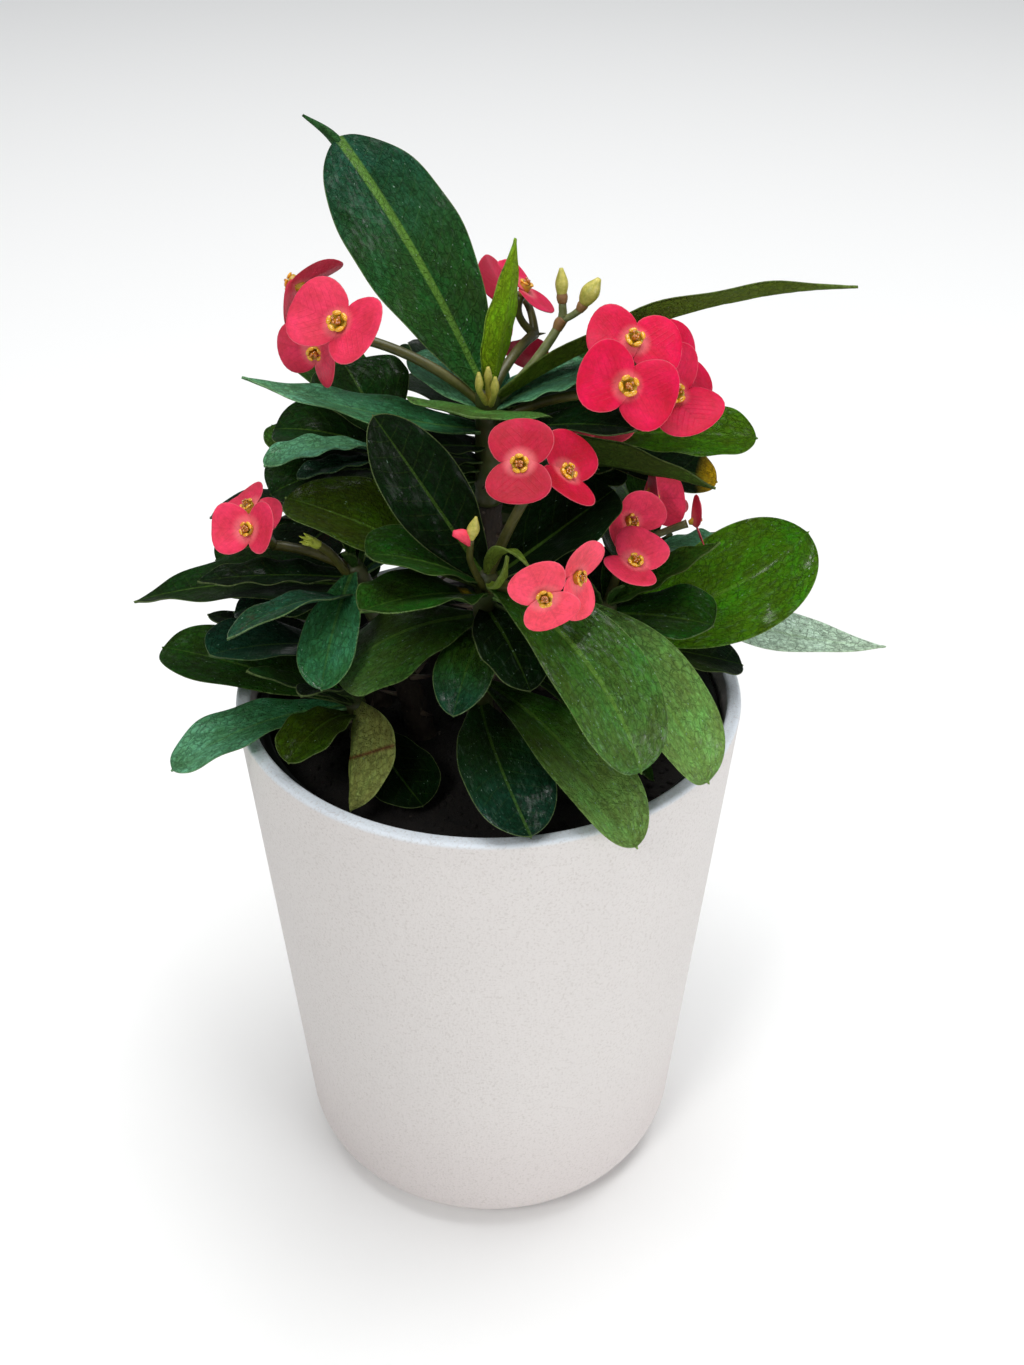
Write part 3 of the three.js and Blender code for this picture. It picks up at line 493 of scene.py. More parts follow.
# a patchy coat of wax, brighter where water stands in drops
drops = skin.times(skin.specks(dashes, scale=0.8, amount=0.35, size=0.42, bend=0.7), face)
patches = skin.grain(slanted, scale=0.5)
wax = skin.line(drops, 0.6, skin.fade(patches, -0.05, 0.2, 0.02, 0.42))
wax = skin.times(wax, skin.line(face, 0.75, 0.25))
wax = skin.times(wax, skin.line(chalk_and_sheen, 1.7, 0.28), clamp=True)
wrinkles = skin.grain(slanted, scale=0.8, contrast=2.4)
relief = skin.line(pattern["Veins"], -0.35, skin.times(pattern["Net"], -0.7))
relief = skin.math("ADD", relief, skin.line(drops, 0.8, wrinkles))
coat = {"coat_weight": wax, "coat_roughness": 0.14, "coat_ior": 1.45}
skin.set(color, skin.line(under, 0.2, 0.5), specular_ior_level=0.06, **coat)
skin.bump(relief, 0.0008, 1.0)

# %% [markdown]
# ## Bracts and cups
#
# The bracts are thin, satin and saturated. They pale round the cup and at the very rim, and fine veins
# fan out from the cup. The cup itself is waxy yellow-green, with amber glands that shine with nectar.

# %% Material: bract
skin = Finish("bract")
place, tone = skin.note("place"), skin.note("tone", "Color")
under, centre_distance, _ = skin.parts(skin.note("marks"))
fans = {"Place": place, "Rib Width": 0.35, "Spacing": 2.1, "Slant": 0.9, "Vein Width": 0.14}
pattern = skin.group("veins", {**fans, "Rim Width": 0.24})
color = skin.mottle(place, tone, scale=0.16, strength=0.36, turn=-0.05)
color = skin.mottle(place, color, scale=0.9, strength=0.26, turn=0.0)
deeper = skin.mix(0.5, tone, paint(140, 0, 30))
for share, toward in (
    (skin.times(pattern["Veins"], 0.22), deeper),
    (skin.times(pattern["Rib"], 0.25), deeper),
    (skin.fade(centre_distance, 2.3, 5.0, 0.62, 0.0), paint(240, 130, 132)),
    (skin.times(pattern["Rim"], 0.35), paint(240, 130, 140)),
    (skin.times(under, 0.3), paint(176, 60, 64)),
):
    color = skin.mix(share, color, toward)
grain = skin.grain(place, scale=1.6)
rough = skin.line(grain, 0.2, 0.5)
skin.set(color, rough, specular_ior_level=0.26, specular_tint=(1.0, 0.8, 0.86, 1.0))
skin.bump(skin.line(pattern["Veins"], -0.4, grain), 0.0002, 0.6)

# %% Materials: everything waxy, which drifts between two colours
WAXY = {
    # name: darker colour, lighter colour, roughness, coat, scale of the grain
    "cup": ((160, 136, 26), (206, 160, 40), 0.4, 0.2, 0.8),
    "gland": ((210, 136, 10), (240, 190, 40), 0.25, 0.6, 0.8),
    "nectar_drop": ((140, 62, 4), (214, 130, 18), 0.08, 1.0, 0.8),
    "bud": ((150, 152, 52), (216, 202, 104), 0.42, 0.1, 0.8),
    "stalk": ((56, 58, 22), (92, 90, 34), 0.45, 0.1, 0.35),
    "bud_stalk": ((96, 108, 66), (140, 142, 92), 0.45, 0.1, 0.5),
    "stalk_joint": ((128, 84, 50), (160, 122, 76), 0.5, 0.05, 0.6),
    "young_shoot": ((44, 64, 22), (72, 70, 34), 0.5, 0.05, 0.3),
    "fresh_break": ((150, 170, 40), (196, 200, 84), 0.45, 0.1, 1.2),
}
for name, (dark, light, roughness, coat, scale) in WAXY.items():
    skin = Finish(name)
    grain = skin.grain(skin.note("place"), scale)
    color = skin.mix(skin.line(grain, 2.2, 0.5, clamp=True), paint(*dark), paint(*light))
    skin.set(color, skin.line(grain, 0.3, roughness), coat_weight=coat, coat_roughness=0.08)
    skin.bump(grain, 0.0003, 0.5)

# %% [markdown]
# ## Bark, thorns and soil
#
# Old stems are dark grey-brown, cracked lengthwise and dusted with pale cork. The thorns are hard and dry,
# lighter at the foot and almost black at the point. Soil is many colours of brown, with pale grit, kept
# nearly black as painted shade inside the pot under the crown.

# %% Materials: bark, thorn and soil
skin = Finish("bark")
place = skin.note("place")
ridges = skin.grain(skin.stretched(place, (1.0, 1.0, 0.3)), scale=0.9, contrast=1.6)
color = skin.mix(skin.math("ADD", ridges, 0.5, clamp=True), paint(20, 16, 12), paint(70, 58, 45))
color = skin.mottle(place, color, scale=0.12, strength=0.5)
cork = skin.specks(place, scale=0.7, amount=0.25, size=0.35)
color = skin.mix(skin.times(cork, 0.4), color, paint(132, 118, 98))
skin.set(color, skin.line(ridges, 0.2, 0.75))
skin.bump(ridges, 0.0008, 0.9)

skin = Finish("thorn")
place = skin.note("place")
to_point = skin.parts(skin.note("marks"))[0]
color = skin.mix(skin.fade(to_point, 0.2, 0.95), paint(122, 106, 88), paint(44, 32, 28))
color = skin.mottle(place, color, scale=0.6, strength=0.4)
grain = skin.grain(place, scale=1.5)
skin.set(color, skin.line(grain, 0.2, 0.45))
skin.bump(grain, 0.0002, 0.5)

skin = Finish("soil")
place = skin.note("place")
clods = skin.grain(place, scale=0.35, contrast=2.0)
# painted shade: the soil's browns are kept nearly black for the shade inside the pot under the crown
color = skin.mix(skin.math("ADD", clods, 0.5, clamp=True), paint(7, 5, 4), paint(27, 20, 14))
grit = skin.specks(place, scale=0.6, amount=0.04, size=0.4)
color = skin.mix(skin.times(grit, 0.6), color, paint(104, 96, 84))
skin.set(color, skin.line(clods, 0.1, 0.9))
skin.bump(clods, 0.001, 1.0)

# %% [markdown]
# ## The pots' finish
#
# The cover pot is matte and warm white, sprayed over with a grain as fine as sand. Its rim is a little
# smoother from handling, and its cooler tint is a painted reflection of the sky. Near the foot a pinker,
# slightly darker tint is painted warm reflected light. The grow pot is thin black plastic with a dull
# shine and some dust.

# %% Materials: white pot and black grow pot
skin = Finish("white_pot")
place = skin.node("NewGeometry")["Position"]
height = skin.parts(place)[2]
rim_with_painted_sky = skin.fade(height, 0.1745, 0.1758)
foot_with_painted_bounce = skin.fade(height, 0.0, 0.08, 0.5, 0.0)
color = skin.mottle(place, (*paint(221, 216, 213), 1.0), scale=14.0, strength=0.03)
# painted reflected light: a pinker, slightly darker cast near the foot
color = skin.mix(foot_with_painted_bounce, color, paint(216, 204, 202))
# the rim's cooler colour is a painted reflection of the sky; its lower roughness is real
color = skin.mix(rim_with_painted_sky, color, paint(222, 229, 236))
sand = skin.grain(place, scale=1300.0)
color = skin.mix(skin.fade(sand, 0.0, 0.16, 0.0, 0.36), color, paint(176, 167, 160))
skin.set(color, skin.line(rim_with_painted_sky, -0.12, 0.62))
skin.bump(sand, 0.0004, 0.8)

skin = Finish("grow_pot_plastic")
place = skin.node("NewGeometry")["Position"]
scuff = skin.grain(place, scale=60.0)
dust = skin.specks(place, scale=500.0, amount=0.2, size=0.3)
color = skin.mix(skin.times(dust, 0.35), paint(16, 17, 18), paint(84, 72, 58))
skin.set(color, skin.line(scuff, 0.5, 0.48))
skin.bump(scuff, 0.0002, 0.4)
print("materials:", list(FINISHES))

# %% [markdown]
# ## The plan of the plant
#
# Eleven shoots leave the soil. Each has a foot, a tip and a length of green crown. The table of leaves
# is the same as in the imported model: how far below the tip a leaf starts, its heading and rise, length,
# width, droop along its length, roll, form and green. What only some leaves have comes last.

# %% Shoots and leaf forms
SHOOTS = {
    # name: (foot x, y), (tip x, y, z), green length
    "M": ((0, 6), (0, 0, 270), 34),
    "A": ((-3, -16), (0, -31, 232), 54),
    "B": ((-20, -6), (-37, -13, 224), 18),
    "C": ((-34, 10), (-44, 2, 192), 12),
    "J": ((-36, -18), (-38, -21, 184), 10),
    "D": ((20, -4), (34, -5, 207), 18),
    "E": ((16, 20), (25, 26, 247), 17),
    "F": ((-14, 22), (-30, 26, 244), 16),
    "G": ((4, 36), (6, 54, 230), 26),
    "H": ((34, 22), (50, 32, 206), 13),
    "I": ((-32, 32), (-46, 44, 210), 13),
}
SOIL_TOP = 162
FORMS = {
    # name: widest place, fullness of the end, how it closes, width at the base, how it widens
    "spoon": (0.70, 2.2, 0.50, 0.13, 1.35),
    "oval": (0.56, 2.0, 0.55, 0.14, 1.0),
    "lance": (0.45, 1.6, 0.95, 0.16, 0.9),
    "round": (0.66, 2.3, 0.50, 0.12, 1.2),
    "great": (0.60, 2.1, 0.56, 0.10, 1.0),
}

# %% The table of leaves
LEAVES = {
    "M": [
        (1, 15, 76, 42, 14, -8, 52, "lance", "bright", {"fold": 10, "rib": 1.6}),  # narrow young leaf
        # the tallest leaf
        (2, 134, 54, 81, 31, 20, 26, "great", "fern",
         {"fold": 6, "chalk_and_sheen": 0.26, "rib": 0.9, "rib_end": 1.5, "tip": "blue"}),
        (4, 8, 34, 103, 21, 36, 36, "lance", "moss", {"fold": 14}),  # long strap to the right
        (5, 33, 0, 64, 22, -11, -8, "oval", "mid"),
        (6, 14, 27, 35, 21, 26, 1, "oval", "mint"),  # ribbed
        (6, -97, 27, 33, 38, 9, 4, "oval", "jade", {"fold": 4}),  # broad leaf seen on edge
        (6, 137, 24, 29, 20, 16, 3, "oval", "mint"),  # ribbed
        (9, 108, 19, 59, 24, 39, -1, "oval", "dark"),
        # narrow leaf to the left, its light blue-green partly painted sheen
        (12, -176, 8, 66, 20, -14, -2, "lance", "sea", {"fold": 10, "chalk_and_sheen": 0.3, "tip": "mint"}),
        (14, -30, 29, 46, 18, 25, -3, "spoon", "dark"),
        (16, 32, 9, 48, 22, 2, -6, "spoon", "mid"),
        (17, -157, 15, 26, 20, 9, 0, "oval", "dark"),
        (18, -11, 4, 62, 24, 17, 46, "lance", "olive"),  # on edge
        (22, -153, 29, 34, 22, 45, 3, "spoon", "deep"),
    ],
    "A": [
        # upright leaf with a curled tip
        (2, 177, 60, 54, 21, 2, 63, "oval", "dark", {"fold": 8, "chalk_and_sheen": 0.04}),
        (2, -64, 79, 34, 5, 90, 20, "lance", "lime"),  # young leaf
        (2, -75, 10, 30, 4, -64, -20, "lance", "lime"),  # young leaf
        # the longest leaf at the front
        (3, -46, 10, 70, 28, 77, -8, "round", "leek",
         {"chalk_and_sheen": 0.6, "rib": 1.3, "rib_end": 0.6, "tip": "jade"}),
        (3, 26, 25, 42, 34, -3, 0, "spoon", "dark"),
        (4, -160, 39, 36, 26, 26, 0, "spoon", "mid", {"chalk_and_sheen": 0.3}),
        (5, 162, 27, 59, 33, 20, 0, "round", "olive", {"chalk_and_sheen": 0.2}),
        # arches over the right rim
        (7, -15, -2, 82, 28, 62, -8, "round", "jade",
         {"bend": -20, "chalk_and_sheen": 0.4, "rib": 1.5, "rib_end": 0.6, "tip": "light"}),
        # waved edges
        (8, -138, 29, 43, 24, 25, -2, "oval", "mid",
         {"wave": 1, "stain": (0.16, 0.1, 0.05, 0.5, "yellow")}),
        (9, -8, -30, 45, 22, 30, 25, "spoon", "dark"),
        (12, -67, 1, 32, 20, 31, 0, "oval", "dark", {"chalk_and_sheen": 0.3}),
        # broad and domed
        (16, -165, 11, 45, 35, 57, -3, "round", "leek",
         {"fold": -8, "chalk_and_sheen": 0.5, "rib": 1.2, "tip": "jade"}),
        (20, -103, 4, 34, 17, 31, 0, "oval", "leek", {"chalk_and_sheen": 0.4, "tip": "blue"}),
        (30, -11, -18, 63, 14, 38, 1, "spoon", "mid"),
        # over the front rim
        (42, -52, 12, 71, 23, 50, 0, "round", "leek", {"chalk_and_sheen": 0.6, "rib_end": 0.6, "tip": "light"}),
        # over the front rim
        (50, -86, 15, 59, 25, 36, 1, "spoon", "deep",
         {"bend": 20, "chalk_and_sheen": 0.4, "rib": 0.5, "rib_end": 0.6, "tip": "marine"}),
    ],
    "B": [
        # arches round to the front
        (1, -101, -3, 40, 17, 44, -6, "spoon", "sea", {"chalk_and_sheen": 0.3, "rib": 1.2}),
        (4, 36, 32, 34, 22, 44, 2, "spoon", "blue"),
        (5, -167, 15, 44, 14, 17, 0, "oval", "dark"),
        (8, 173, 4, 68, 30, 25, 0, "lance", "deep"),
        (12, -176, 5, 38, 26, 20, 0, "spoon", "dark", {"chalk_and_sheen": 0.4, "tip": "blue"}),
        (14, -120, 39, 66, 12, 37, -8, "oval", "blue", {"chalk_and_sheen": 0.4}),
    ],
    "C": [
        (1, 157, -12, 46, 12, -13, 0, "oval", "dark"),
        (2, 158, 34, 45, 24, 40, -3, "spoon", "mid"),
        (4, 11, 24, 36, 20, 30, 4, "spoon", "dark"),
        (6, 171, -5, 53, 24, 19, -7, "spoon", "deep"),
        (8, -140, 33, 50, 26, 24, 0, "spoon", "marine", {"chalk_and_sheen": 0.3, "tip": "blue"}),
    ],
    "J": [
        (1, 157, 9, 64, 24, 14, 12, "spoon", "mid", {"chalk_and_sheen": 0.3}),
        # folded on itself
        (1, -89, -8, 35, 15, 27, -19, "oval", "khaki",
         {"fold": 10, "lop": -0.9, "chalk_and_sheen": 0.2, "stain": (0.56, 0, 0.02, 2, "rust")}),
        (1, -114, 56, 35, 10, 39, -1, "spoon", "dark"),
        (2, -148, 40, 39, 11, 7, 0, "oval", "deep"),
        (2, -169, 6, 55, 20, 30, 0, "spoon", "sea", {"bend": 20, "chalk_and_sheen": 0.5, "tip": "mint"}),
        (5, -53, -31, 35, 22, -18, -3, "spoon", "dark"),
        (6, -120, 41, 35, 17, 65, 0, "spoon", "olive"),
    ],
    "D": [
        (0, -6, 31, 37, 15, -10, -10, "lance", "leek", {"fold": 26}),  # folded up
        (4, -30, 22, 35, 24, 20, -10, "spoon", "mid", {"chalk_and_sheen": 0.4}),
        (4, 138, 27, 38, 20, 17, 20, "spoon", "dark"),
        # turned up and facing front
        (8, 12, -4, 68, 33, -50, -50, "round", "fresh", {"chalk_and_sheen": 0.3, "rib": 0.9}),
        (8, 35, 11, 64, 22, 33, -13, "spoon", "deep"),
        (14, 4, -5, 47, 26, 15, 0, "spoon", "olive", {"tip": "dark"}),
    ],
    "E": [
        (1, 70, 22, 48, 22, 30, 0, "spoon", "leek"),
        (3, -2, 8, 52, 20, 14, -25, "spoon", "fresh"),
        (6, 38, 10, 55, 24, 23, 1, "spoon", "blue"),
        (7, -50, -44, 34, 22, 14, 26, "spoon", "deep"),
        (9, 2, 2, 44, 17, 27, -33, "spoon", "dark", {"stain": (1, 0, 0.16, 2, "yellow")}),
        (10, -163, -5, 36, 18, 31, -7, "spoon", "deep"),
        (12, 79, -32, 45, 20, 32, -8, "spoon", "dark"),
    ],
    "F": [
        (2, 126, 46, 28, 32, 20, 0, "spoon", "deep"),
        (3, 128, 34, 50, 24, 30, 0, "spoon", "mid"),
        (5, -139, 33, 44, 13, 40, 0, "spoon", "mint", {"chalk_and_sheen": 0.4}),  # pale, curled down
        (6, 172, 27, 35, 30, 35, 5, "spoon", "deep"),
        (6, -72, 23, 34, 22, 6, -1, "spoon", "mid"),
        (8, -143, 22, 32, 10, 28, -1, "spoon", "blue", {"chalk_and_sheen": 0.5, "tip": "grey"}),
        (10, 130, 3, 48, 26, 4, 0, "spoon", "mid"),
        (12, -155, 27, 39, 30, 49, 5, "spoon", "deep"),
    ],
    "G": [
        (1, 130, 68, 55, 24, 59, -9, "spoon", "blue"),
        (2, -167, 51, 48, 20, 10, 0, "oval", "deep"),
        (4, 128, 26, 56, 26, 40, 0, "spoon", "dark"),
        (6, 46, 16, 58, 26, 40, 0, "spoon", "leek"),
        (10, 100, 2, 58, 28, 40, 0, "oval", "dark"),
        (20, 66, -6, 52, 24, 10, 0, "spoon", "blue"),
        (22, 122, -8, 50, 24, 10, 0, "spoon", "blue"),
    ],
    "H": [
        (1, 92, 48, 44, 20, 30, 0, "spoon", "mid"),
        (2, -43, 30, 29, 20, 34, 0, "oval", "mint", {"chalk_and_sheen": 0.4}),
        (2, -126, 16, 35, 24, 36, -3, "spoon", "dark"),
        (3, 14, 9, 56, 26, 52, 18, "spoon", "leek"),
        (4, 177, 28, 83, 22, 29, -54, "spoon", "mid"),
        (5, 95, 13, 68, 28, 41, 21, "spoon", "mid"),
        (8, 43, -31, 61, 26, 36, -4, "oval", "mid"),
        (9, 96, 2, 50, 24, 30, 0, "spoon", "mid"),
        # its pale green is made paler as painted sheen
        (11, -5, -32, 81, 20, -33, -18, "lance", "pale", {"chalk_and_sheen": 0.4, "rib": 1.4}),  # long and pale
    ],
    "I": [
        (1, 140, 48, 36, 20, 26, -2, "spoon", "leek"),
        (2, -109, 13, 42, 24, 18, 4, "spoon", "dark"),
        (3, -179, 22, 42, 26, 41, -12, "spoon", "dark"),
        (4, -5, 17, 40, 24, 23, 10, "spoon", "blue"),
        (5, 81, 15, 54, 26, 80, -8, "spoon", "mid"),
        (6, -153, 14, 43, 22, 28, -1, "spoon", "deep"),
        (8, 157, -9, 62, 28, 38, 4, "oval", "mid"),
    ],
}
print("leaves:", sum(len(rows) for rows in LEAVES.values()))

# %% [markdown]
# ## Stems
#
# A stem leaves the soil almost upright and bends to its tip, so its axis is a quadratic curve. The bark
# is a tube whose radius wanders a little, with a swelling at each old leaf scar. A Blender curve with a
# bevel would make a tube too, but it would be round, and old bark isn't.

# %% The axis of a shoot
STEM_RADIUS = 3.8
MAIN_STEM_RADIUS = 4.3
ROOTING = 34  # how deep a stem stands in the soil
GAP = 0.3


def shoot_length(name):
    (x, y), tip, _ = SHOOTS[name]
    return float(np.linalg.norm(np.array(tip) - (x, y, SOIL_TOP)))


def axis_at(name, share):
    (x, y), tip, _ = SHOOTS[name]
    low, high = np.array([x, y, SOIL_TOP], float), np.array(tip, float)
    middle = low + (high - low) * (0.35, 0.35, 0.5)
    return curve(low, middle, high, share)


def axis_below(name, down):
    return axis_at(name, max(0.0, 1 - down / shoot_length(name)))


def stem_radius(name, share):
    return (MAIN_STEM_RADIUS if name == "M" else STEM_RADIUS) * (1.08 - 0.3 * np.asarray(share))


# %% [markdown]
# ## Leaf blades
#
# A blade is two skins, face and underside, that meet at a thin edge. Both follow the midrib, which droops
# along its length, and fold up a little on either side of it. The face dips at the midrib and the
# underside has a keel there. Margins ripple, more on some leaves than on others. One flat sheet with a
# thickness modifier would be shorter, but it would have the same thickness and relief on both sides.

# %% Where a leaf runs
DEFAULTS = {"fold": 14, "bend": 0, "wave": 0, "lop": 0, "chalk_and_sheen": 0.12, "rib": 1, "rib_end": 0.25}
DEFAULTS.update(tip=None, stain=None)
COLUMNS = np.array([0, 0.045, 0.1, 0.2, 0.34, 0.5, 0.66, 0.8, 0.91, 0.975, 1])
COLUMNS = np.concatenate([-COLUMNS[:0:-1], COLUMNS])


def leaf_from(name, row, number):
    down, azimuth, rise, length, width, droop, roll, form, tone, *own = row
    leaf = {**DEFAULTS, **(own[0] if own else {})}
    leaf.update(base=axis_below(name, down), azimuth=azimuth, rise=rise, length=length, width=width)
    leaf.update(droop=droop, roll=math.radians(roll), form=form, tone=tone, number=number)
    return leaf


def half_share(form, t):
    """A leaf's half width along its length, as a share of the widest."""
    widest, end, close, base, rise = FORMS[form]
    rising = base + (1 - base) * np.sin(np.pi / 2 * np.clip(t / widest, 0, 1)) ** rise
    x = np.clip((t - widest) / (1 - widest), 0, 1)
    return np.where(t <= widest, rising, (1 - x**end) ** close)


def midrib(leaf, t):
    """Points along the midrib, and the ways across and out of the face there."""
    s = t[:, None] * (np.arange(8) + 0.5) / 8
    steps = heading(leaf["azimuth"] + leaf["bend"] * s, leaf["rise"] - leaf["droop"] * s)
    at = leaf["base"] + steps.sum(1) * (leaf["length"] * t / 8)[:, None]
    azimuth, rise = leaf["azimuth"] + leaf["bend"] * t, leaf["rise"] - leaf["droop"] * t
    level = np.stack([np.sin(np.radians(azimuth)), -np.cos(np.radians(azimuth)), 0 * t], -1)
    over = heading(azimuth, rise + 90)
    cos, sin = math.cos(leaf["roll"]), math.sin(leaf["roll"])
    return at, level * cos + over * sin, over * cos - level * sin


# %% Grow one leaf
BLADE = 0.7  # how thick a leaf is
PETIOLE = 1.7  # and how thick where it leaves the stem
DIP, KEEL = 0.45, 0.6  # how far the midrib dips into the face and stands out below
CROWDING = 1.7  # above 1, the rows of points crowd towards the tip
LEAF_STRIDE = 113.0  # sets each leaf's place apart, so that no two carry the same mottling
TIP_POINT = 0.012  # the small point beyond a leaf's round end, as a share of its length


def blade_faces(rows, n):
    """The faces of two skins with n points a row, which share the first and last point of each row."""
    start = rows * n
    faces = grid_faces(rows, n, flip=True) + grid_faces(rows, n - 2, start)
    for i in range(rows - 1):
        low, high = i * n, (i + 1) * n
        a, b = start + i * (n - 2), start + (i + 1) * (n - 2)
        faces.append((low, high, b, a))
        faces.append((a + n - 3, b + n - 3, high + n - 1, low + n - 1))
    end = start + rows * (n - 2)
    faces.append((*range(n), *range(start, start + n - 2)[::-1]))
    faces.append((*range(start - n, start)[::-1], *range(end - n + 2, end)))
    return faces


def leaf_blade(clay, leaf, rows=46):
    t = (1 - (1 - np.linspace(0, 1, rows)) ** CROWDING) * (1 + TIP_POINT)
    at, across, out = midrib(leaf, t)
    half = leaf["width"] / 2 * half_share(leaf["form"], t)
    point = 0.4 * np.clip((1 + TIP_POINT - t) / TIP_POINT, 0.05, 1)
    half = np.maximum(half, point)[:, None]
    t, v = t[:, None], COLUMNS[None]
    x = v * half * (1 + leaf["lop"] * np.sign(v))

    # the middle of the blade, folded at the midrib, waved and rippled
    fold = math.radians(leaf["fold"])
    lift = (np.sqrt(x**2 + 1.0) - 1.0) * math.sin(fold)
    lift = lift + leaf["wave"] * v**2 * np.sin(2 * np.pi * 2.2 * t + np.where(v > 0, 1.9, 0))
    lift = lift + ripple(leaf, t, v, half)
    middle = at[:, None] + x[..., None] * math.cos(fold) * across[:, None] + lift[..., None] * out[:, None]

    # its two skins, with the dip and the keel of the midrib
    thick = BLADE / 2 + (PETIOLE - BLADE) / 2 * np.clip(1 - t / 0.2, 0, 1) ** 1.5
    thick = thick * np.sqrt(np.clip(1 - v**10, 0, 1))
    near_rib = np.exp(-((x / (0.5 + 0.04 * leaf["width"])) ** 2)) * np.clip(1 - t, 0.1, 1)
    near_rib = near_rib * np.clip(t / 0.12, 0, 1)
    face = middle + (thick - DIP * near_rib)[..., None] * out[:, None]
    underside = middle - (thick + KEEL * near_rib)[..., None] * out[:, None]

    # the notes for the material
    along = t * leaf["length"] + 0 * x + LEAF_STRIDE * leaf["number"]
    place = np.stack([along, x, half - np.abs(v) * half], -1)
    marks = np.zeros((rows, len(COLUMNS), 3))
    marks[..., 1] = leaf["chalk_and_sheen"]
    marks[..., 2] = (0.28 + 0.025 * leaf["width"]) * (leaf["rib"] + (leaf["rib_end"] - leaf["rib"]) * t)
    below = marks[:, 1:-1] + (1, 0, 0)
    tones = leaf_tones(leaf, t, v)
    points, places = listed(face, underside[:, 1:-1]), listed(place, place[:, 1:-1])
    tones, marks = listed(tones, tones[:, 1:-1]), listed(marks, below)
    clay.add(points, blade_faces(rows, len(COLUMNS)), "leaf", places, tones, marks)


def leaf_tones(leaf, t, v):
    """A leaf's green at each point. Some leaves change towards the tip, partly in their own colour and
    partly as painted sheen and shade, and some carry a stain.
    """
    tones = np.broadcast_to(TONES[leaf["tone"]], (len(t), v.shape[1], 3))
    # painted sheen and shade: a lighter, bluer tip stands in for sheen, and the darker base it sets off
    # stands in for shade
    if leaf["tip"]:
        share = np.clip((t - 0.35) / 0.5, 0, 1)[..., None]
        tones = tones + (np.array(TONES[leaf["tip"]]) - tones) * share**1.5
    if leaf["stain"]:
        at, aside, long, wide, name = leaf["stain"]
        reach = np.hypot((t - at) / long, (v - aside) / wide)[..., None]
        tones = tones + (np.array(TONES[name]) - tones) * np.clip(1.6 - 1.6 * reach, 0, 1)
    return tones


def ripple(leaf, t, v, half):
    """The slow unevenness of a real blade: rippled margins and raised quilting, which grow from the base."""
    seed = leaf["number"] * 10
    size = 0.25 + 0.5 * chance(seed)
    turns = 2.2 + 2 * chance(seed + 1)
    side = np.where(v > 0, 2 * np.pi * chance(seed + 2), 2 * np.pi * chance(seed + 3))
    grow = np.clip(t / 0.3, 0, 1) * np.clip(half / 6, 0.2, 1)
    margin = size * np.abs(v) ** 3 * np.sin(2 * np.pi * turns * t + side)
    veins = np.sin((t * leaf["length"] - np.abs(v) * half * 0.7) * 2 * np.pi / VEIN_SPACING)
    quilt = 0.14 * veins * (1 - v**2) * np.abs(v) ** 0.5
    return (margin + quilt) * grow


# %% [markdown]
# ## Blooms
#
# Each bloom is two rounded bracts, one lapping over the other, round a cup. The cup carries five glands
# like small lips, a ring of stamens and a drop or two of nectar. The table gives each bloom's place, the
# way it faces, its spin about that way, its size, how far its bracts lift from flat, and how many degrees
# the second lifts more and the first less. A bract could be the same mesh each time, but no two are alike.

# %% The table of flower heads
HEADS = [
    # shoot, how far below its tip the stalk starts, pink, blooms
    # a bloom: x, y, z, azimuth, rise, spin, size, lift of its bracts, more for the second
    ("M", 5, "coral", [
        (-36.5, -15, 294.5, -100, 40, -22, 1.07, 17, -12),
        (-45, 2, 280.5, -98, -5, -8, 0.85, 22, -28),
        (-50, 14.5, 293.5, 162, 15, 122, 1.01, -27, 13),
    ]),
    ("M", 3, "rose", [
        (9.5, 24.5, 288.5, 15, 64, -133, 0.8, 6, 15),
        (4.5, 34, 283, -198, -20, 95, 1, 14, 0),
    ]),
    ("M", 10, "hot", [
        (37.5, -9.5, 288, -91, 51, -6, 1, -1, 11),
        (35, -20, 280.5, -76, 29, -28, 1.07, 15, -7),
        (48.5, -6.5, 271.5, -74, 47, -69, 1.12, 32, 7),
        (53, 17.5, 271.5, -31, 28, 68, 0.98, 4, 13),
    ]),
    ("E", 3, "salmon", [(29.5, 16, 251, -90, 78, -10, 0.95, 14, 0)]),
    ("A", 2, "red", [
        (8.5, -42.5, 270.5, -97, 25, 93, 0.93, 6, 29),
        (19.5, -34, 263, -43, 44, 41, 0.92, 20, 8),
    ]),
    ("D", 2, "coral", [
        (45, 10, 233, -58, 38, -17, 0.96, 39, 34),
        (38, -8.5, 235.5, -37, 25, 34, 0.89, 33, -24),
        (39, -25.5, 232, -70, 64, 48, 0.86, 20, 5),
        (57.5, 3.5, 229, 4, 19, 99, 0.6, 14, -13),
    ]),
    ("A", 6, "salmon", [
        (14.5, -63.5, 245, -92, 24, 116, 0.84, -4, -33),
        (22, -50.5, 243, -33, 15, 67, 0.86, 17, -13),
    ]),
    ("B", 2, "coral", [
        (-62, -25.5, 242, -123, 35, 20, 0.79, 29, 11),
        (-65.5, -2.5, 235.5, -156, 60, 6, 0.84, -9, 7),
    ]),
    ("G", 2, "rose", [
        (-4, 86, 246, 106, 41, 2, 0.95, 14, 0),
        (14, 90, 238, 78, 30, 60, 0.9, 14, 0),
    ]),
    ("H", 2, "red", [
        (54, 80, 190, 80, 40, 0, 0.95, 14, 0),
        (80, 60, 182, 20, 36, 80, 0.9, 14, 0),
    ]),
    ("I", 2, "coral", [
        (-56, 78, 216, 130, 36, 20, 0.95, 14, 0),
        (-63, 66, 204, 150, 40, 70, 0.9, 14, 0),
    ]),
]
BRACT_LENGTH = 12.6
BRACT_WIDTH = 17.5
BRACT_THICKNESS = 0.42
